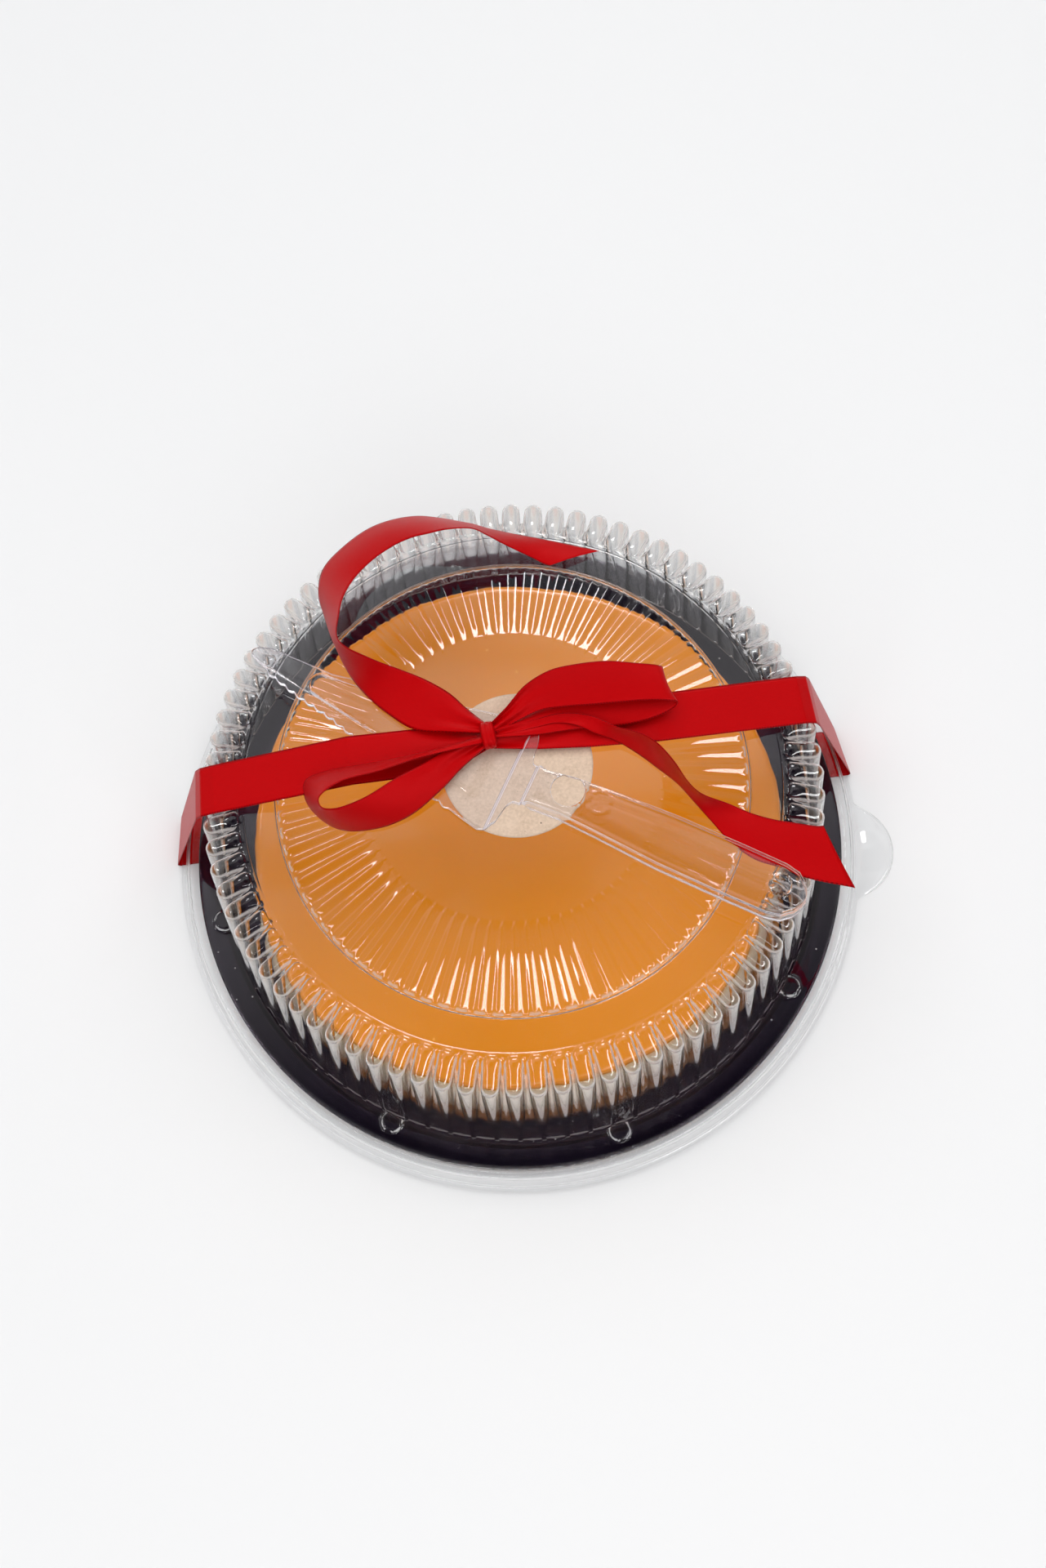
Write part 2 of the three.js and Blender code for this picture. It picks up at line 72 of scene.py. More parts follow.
def spread(value, low, high, toLow=0.0, toHigh=1.0):
    # low..high becomes toLow..toHigh, and is held there outside
    inputs = {"Value": value, "From Min": low, "From Max": high, "To Min": toLow, "To Max": toHigh}
    return node(value.id_data, "ShaderNodeMapRange", inputs).outputs[0]


# camera, lamps and the room round them

camera = {
    "target": (4.538, 32.351, 0.0),
    "elevation": 71.80,
    "roll": -5.415,
    "distance": 1008.26,
    "lens": 50.0,
    "sensor": 36.0,
}
# place and size in metres, power in watts, and whether a box is only seen mirrored in gloss or
# only lights the scene; each faces the pack
softboxes = {
    "backBox": ((0.3, 2.0, 1.8), (0.9, 0.7), 18, True),
    "leftBox": ((-1.54, -0.5, 1.47), (0.9, 0.14), 6, True),
    "rightBox": ((1.35, -0.95, 1.45), (2.2, 0.44), 23, True),
    "cornerBox": ((-1.7, 1.0, 1.95), (0.5, 0.25), 3.4, True),
    "nearBox": ((0.2, -1.58, 1.56), (2.3, 0.13), 6, True),
    "bounceBox": ((0.1, 0.8, 2.4), (3.4, 3.0), 56, False),
    "frontBox": ((0.0, -1.7, 1.9), (2.8, 1.8), 30, False),
}
room = {
    # sine of the elevation, brightness there
    "heights": [(0.0, 0.55), (0.2, 0.22), (0.62, 0.22), (0.78, 0.64), (0.945, 0.68), (0.98, 0.03)],
    "bright": (-0.4, 1.0, 0.0),  # towards the bright side
    "fade": (0.05, 0.28),  # how far towards it the room reaches the near share, and full brightness
    "nearShare": 0.2,
}


def standing(axes, place):
    # place and turn of an object whose own x, y and z point along the three axes
    return Matrix([[*row, p] for row, p in zip(np.array(axes).T, place)] + [[0, 0, 0, 1]])


def addCamera(settings):
    # from elevation e: back = (0, -cos e, sin e), up = back x right, then both rolled about back
    elevation, roll = math.radians(settings["elevation"]), math.radians(settings["roll"])
    back = np.array([0.0, -math.cos(elevation), math.sin(elevation)])
    right = np.array([1.0, 0.0, 0.0])
    up = np.cross(back, right)
    xAxis = math.cos(roll) * right + math.sin(roll) * up
    yAxis = -math.sin(roll) * right + math.cos(roll) * up
    place = (np.array(settings["target"]) + back * settings["distance"]) * millimetre + lidAxis
    data = bpy.data.cameras.new("viewCamera")
    data.lens, data.sensor_width, data.clip_end = settings["lens"], settings["sensor"], 50
    view = addObject("viewCamera", data)
    view.matrix_world = standing([xAxis, yAxis, back], place)
    bpy.context.scene.camera = view


def makeRoom(settings):
    # brightness = ramp over the sine of the elevation x share of the side the ray goes to
    world = bpy.data.worlds.new("softRoom")
    world.use_nodes = True
    tree = world.node_tree
    direction = node(tree, "ShaderNodeTexCoord").outputs["Generated"]
    upward = node(tree, "ShaderNodeSeparateXYZ", {0: direction}).outputs["Z"]
    ramp = node(tree, "ShaderNodeValToRGB", {0: upward})
    for index, (height, level) in enumerate(settings["heights"]):
        stops = ramp.color_ramp.elements
        stop = stops[index] if index < 2 else stops.new(height)
        stop.position, stop.color = height, (level, level, level, 1)
    towards = node(tree, "ShaderNodeVectorMath", {0: direction, 1: settings["bright"]}, operation="DOT_PRODUCT")
    share = spread(towards.outputs["Value"], *settings["fade"], settings["nearShare"])
    tree.links.new(ramp.outputs[0], tree.nodes["Background"].inputs["Color"])
    tree.links.new(share, tree.nodes["Background"].inputs["Strength"])
    bpy.context.scene.world = world


def addLights(boxes):
    # a box looks at the pack down its own -Z: back = place / |place|, side = vertical x back
    for name, (place, size, power, mirrored) in boxes.items():
        light = bpy.data.lights.new(name, "AREA")
        light.shape, light.energy = "RECTANGLE", power
        light.size, light.size_y = size
        box = addObject(name, light)
        back = np.array(place) / np.linalg.norm(place)
        side = np.cross([0, 0, 1], back)
        side = side / np.linalg.norm(side)
        box.matrix_world = standing([side, np.cross(back, side), back], place)
        box.visible_diffuse = not mirrored
        box.visible_glossy = box.visible_transmission = mirrored


addCamera(camera)
makeRoom(room)
addLights(softboxes)
bpy.context.scene.view_settings.view_transform = "Standard"
print("camera and lights placed")


# grids of points, and meshes made of them


def gridFaces(rows, columns, wrap, flip=False, offset=0):
    # quads between each two rows and columns; wrap joins the last column to the first
    row = np.arange(rows - 1)[:, None] * columns
    here = np.arange(columns if wrap else columns - 1)[None, :]
    after = (here + 1) % columns
    quads = np.stack([row + here, row + after, row + columns + after, row + columns + here], axis=-1)
    quads = quads.reshape(-1, 4)
    return (quads[:, ::-1] if flip else quads) + offset


def gridNormals(grid, wrap):
    # unit normals of a grid of points: d/dcolumn x d/drow, by central differences
    if wrap:
        across = np.roll(grid, -1, axis=1) - np.roll(grid, 1, axis=1)
    else:
        across = np.gradient(grid, axis=1)
    along = np.gradient(grid, axis=0)
    normals = np.cross(across, along)
    return normals / np.maximum(np.linalg.norm(normals, axis=-1, keepdims=True), 1e-9)


def addMesh(name, points, faceSets, material, uv=None):
    # one smooth mesh of points in millimetres and sets of faces with equally many corners
    mesh = bpy.data.meshes.new(name)
    corners = np.concatenate([faces.ravel() for faces in faceSets]).astype(np.int32)
    sizes = np.concatenate([np.full(len(faces), faces.shape[1]) for faces in faceSets])
    starts = np.concatenate([[0], np.cumsum(sizes)[:-1]]).astype(np.int32)
    mesh.vertices.add(len(points))
    mesh.vertices.foreach_set("co", (points * millimetre + lidAxis).astype(np.float32).ravel())
    mesh.loops.add(len(corners))
    mesh.loops.foreach_set("vertex_index", corners)
    mesh.polygons.add(len(sizes))
    mesh.polygons.foreach_set("loop_start", starts)
    mesh.update(calc_edges=True)
    mesh.polygons.foreach_set("use_smooth", np.ones(len(sizes), dtype=bool))
    if uv is not None:
        mesh.uv_layers.new(name="strip").data.foreach_set("uv", uv[corners].astype(np.float32).ravel())
    mesh.materials.append(material)
    return addObject(name, mesh)


def closedSheet(top, bottom, wrap, pole=False):
    # a closed skin of two grids of one size, its outer and inner face; a rim of quads joins their
    # open edges, and a pole closes the last row of a wrapped grid with a fan on each face
    rows, columns = top.shape[:2]
    count = rows * columns
    points = np.concatenate([top.reshape(-1, 3), bottom.reshape(-1, 3)])
    sets = [gridFaces(rows, columns, wrap), gridFaces(rows, columns, wrap, flip=True, offset=count)]

    def rim(edge, flip, loop):
        here, after = (edge, np.roll(edge, -1)) if loop else (edge[:-1], edge[1:])
        quads = np.stack([here, here + count, after + count, after], axis=-1)
        return quads[:, ::-1] if flip else quads

    first = np.arange(columns)
    last = first + (rows - 1) * columns
    sets.append(rim(first, False, wrap))
    if pole:
        for edge, flip in ((last, False), (last + count, True)):
            fan = np.stack([edge, np.roll(edge, -1), np.full(columns, len(points))], axis=-1)
            points = np.concatenate([points, points[edge].mean(axis=0, keepdims=True)])
            sets.append(fan[:, ::-1] if flip else fan)
    else:
        sets.append(rim(last, True, wrap))
    if not wrap:
        start = np.arange(rows) * columns
        sets += [rim(start, True, False), rim(start + columns - 1, False, False)]
    return points, sets


def closedBody(rings):
    # a solid of rings round the axis, closed by a fan at the first and the last ring
    rows, columns = rings.shape[:2]
    poles = np.stack([rings[0].mean(axis=0), rings[-1].mean(axis=0)])
    points = np.concatenate([rings.reshape(-1, 3), poles])
    ring = np.arange(columns)
    low = np.stack([np.roll(ring, -1), ring, np.full(columns, rows * columns)], axis=-1)
    last = ring + (rows - 1) * columns
    high = np.stack([last, np.roll(last, -1), np.full(columns, rows * columns + 1)], axis=-1)
    return points, [gridFaces(rows, columns, True), low, high]


def rowPositions(counts):
    # station positions 0..n-1 with counts[i] even steps from station i to the next
    parts = [i + np.arange(c) / c for i, c in enumerate(counts)]
    return np.concatenate(parts + [[float(len(counts))]])


def profileRows(profile):
    # the first two columns of a profile, stepped evenly between its stations; its last is the steps
    table = np.array(profile, float)
    rows = rowPositions(table[:-1, -1].astype(int))
    return [np.interp(rows, np.arange(len(table)), table[:, k])[:, None] for k in (0, 1)]


def alongCurve(table, counts, measured, power):
    # cubic through the stations, whose slope at each is from the one before to the one after; its
    # parameter is the chord length over the measured columns, to this power
    chord = np.linalg.norm(np.diff(table[:, :measured], axis=0), axis=1)
    knots = np.concatenate([[0], np.cumsum(np.maximum(chord, 1e-6) ** power)])
    slopes = np.gradient(table, knots, axis=0)
    where = np.interp(rowPositions(counts), np.arange(len(knots)), knots)
    span = np.clip(np.searchsorted(knots, where, side="right") - 1, 0, len(knots) - 2)
    width = (knots[span + 1] - knots[span])[:, None]
    t = (where - knots[span])[:, None] / width
    a, b = table[span], table[span + 1]
    p, q = slopes[span] * width, slopes[span + 1] * width
    start, leaving = (2 * t**3 - 3 * t**2 + 1) * a, (t**3 - 2 * t**2 + t) * p
    return start + leaving + (3 * t**2 - 2 * t**3) * b + (t**3 - t**2) * q


def smoothStep(x):
    # 0 below 0, 1 above 1, x^2 (3 - 2x) between
    x = np.clip(x, 0, 1)
    return x * x * (3 - 2 * x)


def ridge(away, width):
    # a bell of height 1: exp(-(away / width)^2)
    return np.exp(-((away / width) ** 2))


def evenTurns(count):
    # angles of even columns once round the axis
    return np.arange(count) * 2 * np.pi / count


def turnFrom(angle, middle):
    # the shorter turn from the middle to the angle, with its sign
    return np.angle(np.exp(1j * (angle - middle)))


def roundAxis(radius, angle, height):
    # x = r cos a, y = r sin a, z = height
    x, y = radius * np.cos(angle), radius * np.sin(angle)
    return np.stack([x, y, height + 0 * x], axis=-1)


def keep(piece, slot, *cadNodes):
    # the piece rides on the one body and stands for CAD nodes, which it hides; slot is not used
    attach(piece, "root")
    if cadNodes:
        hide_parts(*cadNodes)
    return piece


# helpers for the materials


def maths(operation, a, b=0.0, c=0.0):
    # one Math node beside socket a
    return node(a.id_data, "ShaderNodeMath", {0: a, 1: b, 2: c}, operation=operation).outputs[0]


def mixColour(factor, a, b):
    # a (1 - factor) + b factor; 0, 6, 7 and 2 are the colour sockets of a Mix node
    a, b = ((*colour, 1) if isinstance(colour, tuple) else colour for colour in (a, b))
    return node(factor.id_data, "ShaderNodeMix", {0: factor, 6: a, 7: b}, data_type="RGBA").outputs[2]


def newGroup(name, numbers, output):
    # a node group with a Vector, these numbers and one output; gives its tree and both ends
    group = bpy.data.node_groups.new(name, "ShaderNodeTree")
    group.interface.new_socket(name="Vector", in_out="INPUT", socket_type="NodeSocketVector")
    for label, default in numbers.items():
        socket = group.interface.new_socket(name=label, in_out="INPUT", socket_type="NodeSocketFloat")
        socket.default_value = default
    group.interface.new_socket(name=output, in_out="OUTPUT", socket_type="NodeSocketFloat")
    return group, group.nodes.new("NodeGroupInput").outputs, group.nodes.new("NodeGroupOutput").inputs


def makeCloudGroup():
    # Value = noise at Scale, stretched so that Low..High fills 0..1
    numbers = {"Scale": 40.0, "Detail": 4.0, "Low": 0.3, "High": 0.7}
    group, given, wanted = newGroup("cloud", numbers, "Value")
    noise = node(group, "ShaderNodeTexNoise", {k: given[k] for k in ("Vector", "Scale", "Detail")})
    group.links.new(spread(noise.outputs[0], given["Low"], given["High"]), wanted["Value"])
    return group


def makeSpeckGroup():
    # Mask = 1 inside round specks of radius Size cells, in a random share Amount of the cells
    group, given, wanted = newGroup("specks", {"Scale": 300.0, "Size": 0.2, "Amount": 0.1}, "Mask")
    cells = node(group, "ShaderNodeTexVoronoi", {"Vector": given["Vector"], "Scale": given["Scale"]})
    inside = maths("LESS_THAN", cells.outputs["Distance"], given["Size"])
    chance = node(group, "ShaderNodeSeparateColor", {0: cells.outputs["Color"]}).outputs[0]
    picked = maths("LESS_THAN", chance, given["Amount"])
    group.links.new(maths("MULTIPLY", inside, picked), wanted["Mask"])
    return group


cloud = makeCloudGroup()
specks = makeSpeckGroup()


def cloudOver(place, scale, detail, low=0.3, high=0.7):
    # blotches of 1 / scale metres, from 0 to 1
    inputs = {"Vector": place, "Scale": scale, "Detail": detail, "Low": low, "High": high}
    return node(place.id_data, "ShaderNodeGroup", inputs, node_tree=cloud).outputs["Value"]


def specksOver(place, scale, size, amount):
    # 1 on specks in cells of 1 / scale metres, 0 elsewhere
    inputs = {"Vector": place, "Scale": scale, "Size": size, "Amount": amount}
    return node(place.id_data, "ShaderNodeGroup", inputs, node_tree=specks).outputs["Mask"]


def newMaterial(name):
    # a material, its shader and the object's own coordinates
    material = bpy.data.materials.new(name)
    material.use_nodes = True
    place = node(material.node_tree, "ShaderNodeTexCoord").outputs["Object"]
    return material, material.node_tree.nodes["Principled BSDF"], place


def setShader(shader, **values):
    # plain values and links, straight to the shader's own sockets
    for key, value in values.items():
        socket = shader.inputs[key.replace("_", " ")]
        if isinstance(value, bpy.types.NodeSocket):
            shader.id_data.links.new(value, socket)
        else:
            socket.default_value = (*value, 1) if isinstance(value, tuple) else value


def addBump(shader, height, strength, distance):
    # the shader's normal from a height; distance in metres
    inputs = {"Height": height, "Strength": strength, "Distance": distance}
    setShader(shader, Normal=node(shader.id_data, "ShaderNodeBump", inputs).outputs[0])


def zOf(vector):
    # the z of a vector
    return node(vector.id_data, "ShaderNodeSeparateXYZ", {0: vector}).outputs["Z"]


# floor

floor = {"side": 9000.0, "dark": (0.885, 0.89, 0.90), "light": (0.91, 0.91, 0.915)}


def makeFloorPaint(settings):
    # matt, from dark to light in slow blotches
    material, shader, place = newMaterial("paleFloor")
    drift = cloudOver(place, 0.7, 2.0)
    colour = mixColour(drift, settings["dark"], settings["light"])
    setShader(shader, Base_Color=colour, Roughness=0.7, Specular_IOR_Level=0.2)
    return material


corners = np.array([-1.0, 0.0, 1.0]) * floor["side"] / 2
floorGrid = np.stack(np.meshgrid(corners, corners, [0.0]), axis=-1)[:, :, 0]
addMesh("floor", floorGrid.reshape(-1, 3), [gridFaces(3, 3, False)], makeFloorPaint(floor))


# black base

tray = {
    "segments": 288,
    # radius, height, steps to the next; up the outside, then in over the top to the axis
    "profile": [
        (0.5, 2.4, 1), (60, 2.4, 2), (125.6, 2.4, 1), (126.3, 2.2, 1), (127.6, 1.1, 1), (128.2, 0.95, 1),
        (137.6, 0.95, 1), (138.3, 1.05, 1), (139.8, 2.0, 1), (140.6, 2.2, 1), (145.4, 2.7, 1), (146.0, 3.0, 1),
        (146.2, 3.6, 1), (146.2, 7.6, 2), (146.0, 8.2, 1), (145.4, 8.55, 1), (144.8, 8.6, 1), (138.0, 8.6, 3),
        (137.2, 8.45, 1), (136.7, 8.0, 1), (135.6, 5.7, 1), (135.1, 5.3, 1), (134.4, 5.2, 1), (128.0, 5.2, 1),
        (127.6, 5.05, 1), (126.9, 4.95, 1), (126.2, 5.05, 1), (125.8, 5.2, 1), (60, 5.2, 2), (0.5, 5.2, 1),
    ],
    "dark": (0.003, 0.0014, 0.005),
    "light": (0.006, 0.0034, 0.010),
    "dust": (0.35, 0.34, 0.34),
    "gloss": (0.97, 0.74, 1.0),  # tint of what it mirrors
}


def makeBlackPlastic(settings):
    # dark to light in faint blotches, with dust specks
    material, shader, place = newMaterial("glossBlackPlastic")
    hazeAndReflectionPaint = cloudOver(place, 25.0, 5.0)
    dust = specksOver(place, 420.0, 0.16, 0.035)
    colour = mixColour(hazeAndReflectionPaint, settings["dark"], settings["light"])
    setShader(shader, Base_Color=mixColour(dust, colour, settings["dust"]))
    setShader(shader, Roughness=spread(hazeAndReflectionPaint, 0, 1, 0.02, 0.06), IOR=1.42, Specular_Tint=settings["gloss"])
    addBump(shader, hazeAndReflectionPaint, 0.06, 0.0005)
    return material


def turnedRings(profile, segments):
    # the profile's rows of radius and height, swept round the axis
    radius, height = profileRows(profile)
    return roundAxis(radius, evenTurns(segments), height)


blackPlastic = makeBlackPlastic(tray)
trayBody = closedBody(turnedRings(tray["profile"], tray["segments"]))
keep(addMesh("trayBase", *trayBody, blackPlastic), "base_plastic", "base")
print("base made")


# flan: custard, caramel top, pooled syrup

flan = {
    "segments": 360,
    "radius": 116.4,
    "offset": 0.4,  # the flan sits a little off the axis
    "bulge": {"towards": -147, "size": 5.2, "spread": 27},  # it has spread to one side
    "waves": [(0.4, 3, 0.6), (0.3, 7, 2), (0.25, 17, 0)],  # size, number round the edge, shift
    # inset from the edge, height, steps; bottom to top
    "custard": [
        (6, 5.56, 1), (-1.6, 5.58, 1), (-2.7, 6.2, 1), (-3.0, 7.6, 6), (-0.9, 24, 4), (0.5, 34.0, 1),
        (0.9, 34.6, 1), (3, 34.65, 1), (60, 34.65, 1),
    ],
    "caramel": [
        (60, 35.0, 1), (3, 35.0, 1), (0.8, 35.05, 1), (0.5, 35.5, 2), (0.7, 37.4, 2), (1.3, 38.9, 2),
        (2.6, 39.65, 2), (4.6, 39.95, 1), (9, 40.0, 3), (60, 39.9, 3), (110, 39.9, 1),
    ],
}
custardPaint = {
    "dark": (0.90, 0.68, 0.47), "light": (0.93, 0.74, 0.56), "soaked": (0.74, 0.42, 0.12),
    "poreShade": (0.66, 0.50, 0.30),
}
caramelPaint = {"name": "caramelTop", "light": (0.94, 0.312, 0.009), "dark": (0.79, 0.256, 0.005)}
syrupPaint = {"name": "caramelSyrup", "light": (0.40, 0.15, 0.02), "dark": (0.24, 0.08, 0.01)}


def makeCustard(paint):
    # dark to light in blotches, soaked at the top, with small pores dented in and painted darker as shade
    material, shader, place = newMaterial("bakedCustard")
    patches = cloudOver(place, 35.0, 4.0)
    pores = specksOver(place, 420.0, 0.28, 0.18)
    soak = spread(zOf(place), 0.028, 0.036)  # syrup has soaked the top few millimetres
    colour = mixColour(patches, paint["dark"], paint["light"])
    colour = mixColour(soak, colour, paint["soaked"])
    # the pores' darker colour is painted shade in them
    setShader(shader, Base_Color=mixColour(pores, colour, paint["poreShade"]))
    setShader(shader, Roughness=0.42, Subsurface_Weight=0.15, Subsurface_Scale=0.004)
    addBump(shader, maths("SUBTRACT", patches, pores), 0.3, 0.0006)
    return material


def makeCaramel(paint):
    # light where 0.35 blotch + up to 0.65 painted light towards the axis is high, with paler bubbles
    material, shader, place = newMaterial(paint["name"])
    pool = cloudOver(place, 9.0, 3.0, 0.35, 0.65)
    bubbles = specksOver(place, 160.0, 0.10, 0.03)
    fromAxis = node(place.id_data, "ShaderNodeVectorMath", {0: place}, operation="LENGTH").outputs["Value"]
    # painted light: lighter towards the axis, evening out the soft shadow of the label, server and ribbon
    blotchAndPaintedLight = maths("MULTIPLY_ADD", pool, 0.35, spread(fromAxis, 0.115, 0.06, 0.0, 0.65))
    colour = mixColour(blotchAndPaintedLight, paint["dark"], paint["light"])
    paler = tuple(min(1.0, 1.25 * c + 0.04) for c in paint["light"])
    setShader(shader, Base_Color=mixColour(bubbles, colour, paler), Roughness=spread(pool, 0, 1, 0.13, 0.2))
    setShader(shader, Subsurface_Weight=0.08, Subsurface_Scale=0.003, Coat_Weight=0.12)
    fine = cloudOver(place, 28.0, 2.0, 0.2, 0.8)
    addBump(shader, maths("ADD", fine, bubbles), 0.25, 0.0008)
    return material


def flanEdge(angle):
    # radius + a sum of sines of the angle + size exp(-(away / spread)^2) for the bulge
    bulge = flan["bulge"]
    away = turnFrom(angle, math.radians(bulge["towards"]))
    waves = sum(size * np.sin(number * angle + shift) for size, number, shift in flan["waves"])
    return flan["radius"] + waves + bulge["size"] * ridge(away, math.radians(bulge["spread"]))


def flanRings(profile, ripple):
    # rows inset from the wavy edge; ripple adds short waves that die away 6 mm from it
    inset, height = profileRows(profile)
    angle = evenTurns(flan["segments"])
    near = np.exp(-np.abs(inset) / 6)
    short = ripple * near * (np.sin(41 * angle + 0.3 * height) + 0.7 * np.sin(67 * angle + 1 + 0.5 * height))
    radius = np.maximum(flanEdge(angle)[None, :] - inset + short, 0.5)
    return roundAxis(radius, angle, height) + [flan["offset"], 0, 0]


custardBody = closedBody(flanRings(flan["custard"], 0.10))
caramelBody = closedBody(flanRings(flan["caramel"], 0.14))
keep(addMesh("custardBody", *custardBody, makeCustard(custardPaint)), "custard", "custard")
keep(addMesh("caramelTop", *caramelBody, makeCaramel(caramelPaint)), "caramel", "caramel")

syrup = {"inner": 115.0, "outer": 119.6, "nearMore": 4.4, "low": 5.25, "high": 6.3, "segments": 360, "rows": 14}


def syrupRings(settings):
    # a shallow ring, wider at the near side: outer r = outer + more x near + a sum of sines
    angle = evenTurns(settings["segments"])
    near = smoothStep(0.35 - 0.9 * np.sin(angle))
    outer = settings["outer"] + settings["nearMore"] * near
    outer = outer + 0.5 * np.sin(5 * angle) + 0.4 * np.sin(11 * angle + 2)
    turn = np.linspace(0, 2 * np.pi, settings["rows"], endpoint=False)[:, None]
    middle, half = (outer + settings["inner"]) / 2, (outer - settings["inner"]) / 2
    height = settings["low"] + np.maximum(np.sin(turn), 0) * (settings["high"] - settings["low"])
    return roundAxis(middle + half * np.cos(turn), angle, height)


ring = syrupRings(syrup)
ringPoints = syrup["rows"] * syrup["segments"]
ringFaces = gridFaces(syrup["rows"] + 1, syrup["segments"], True) % ringPoints  # the last row meets the first
keep(addMesh("syrupPool", ring.reshape(-1, 3), [ringFaces], makeCaramel(syrupPaint)), "caramel")
print("flan made")


# clear plastic of the lid and the server

# frost = roughness added where the wall is steep; bends get pale matt as painted reflection where the
# upward share of the normal is in the band, only near the top and near the rim
lidFinish = {
    "name": "clearLidPlastic", "tint": (0.985, 0.988, 0.992), "ior": 1.5, "roughness": 0.02, "frost": 0.03,
    "ripple": 0.08, "hazeAndReflectionPaint": (0.95, 0.88, 0.85, 1), "reflectionPaintShare": 0.3, "band": (0.2, 0.36, 0.5, 0.66),
    "steep": (0.14, 0.3), "nearTop": (0.09, 0.094), "nearRim": (0.016, 0.013),
}
fluteFinish = {
    **lidFinish, "name": "clearFlutePlastic", "hazeAndReflectionPaint": (0.95, 0.82, 0.72, 1), "reflectionPaintShare": 0.26,
    "band": (0.2, 0.36, 0.66, 0.82),
}
rimFinish = {
    **lidFinish, "name": "clearRimPlastic", "frost": 0.0, "ripple": 0.012, "hazeAndReflectionPaint": (0.96, 0.96, 0.97, 1),
    "reflectionPaintShare": 0.6,
}
serverFinish = {
    **lidFinish, "name": "clearServerPlastic", "tint": (0.955, 0.945, 0.975), "ior": 1.58, "frost": 0.0,
    "hazeAndReflectionPaint": (0.93, 0.89, 0.97, 1), "reflectionPaintShare": 0.55, "band": (0.42, 0.56, 0.7, 0.86),
}


def makeClear(settings):
    # surface = glass, mixed with pale matt on the bends as painted reflection; shadow and diffuse rays pass
    # straight through
    material, shader, place = newMaterial(settings["name"])
    tree = material.node_tree
    smudge = cloudOver(place, 60.0, 5.0, 0.45, 0.8)
    ripple = cloudOver(place, 45.0, 2.0, 0.2, 0.8)
    upward = maths("ABSOLUTE", zOf(node(tree, "ShaderNodeNewGeometry").outputs["Normal"]))
    frosty = spread(upward, *settings["steep"], settings["frost"], 0.0)
    smooth = spread(smudge, 0, 1, settings["roughness"], settings["roughness"] * 4)
    setShader(shader, Base_Color=settings["tint"], Roughness=maths("ADD", smooth, frosty))
    setShader(shader, Transmission_Weight=1.0, IOR=settings["ior"])
    addBump(shader, ripple, settings["ripple"], 0.0002)
    band = settings["band"]
    bent = maths("MULTIPLY", spread(upward, *band[:2]), spread(upward, *band[2:], 1.0, 0.0))
    shown = maths("MAXIMUM", *(spread(zOf(place), *settings[key]) for key in ("nearTop", "nearRim")))
    share = maths("MULTIPLY", maths("MULTIPLY", bent, shown), settings["reflectionPaintShare"])
    # painted reflection: pale matt in its own colour, mixed in on the bends
    reflectionPaintShader = node(tree, "ShaderNodeBsdfDiffuse", {"Color": settings["hazeAndReflectionPaint"]}).outputs[0]
    withReflectionPaint = node(tree, "ShaderNodeMixShader", {0: share, 1: shader.outputs[0], 2: reflectionPaintShader}).outputs[0]
    rays = node(tree, "ShaderNodeLightPath").outputs
    passing = maths("MAXIMUM", rays["Is Shadow Ray"], rays["Is Diffuse Ray"])
    straight = node(tree, "ShaderNodeBsdfTransparent", {"Color": (0.97, 0.97, 0.97, 1)}).outputs[0]
    mixer = node(tree, "ShaderNodeMixShader", {0: passing, 1: withReflectionPaint, 2: straight})
    tree.links.new(mixer.outputs[0], tree.nodes["Material Output"].inputs["Surface"])
    return material


# lid dome: ribbed wall and fluted top

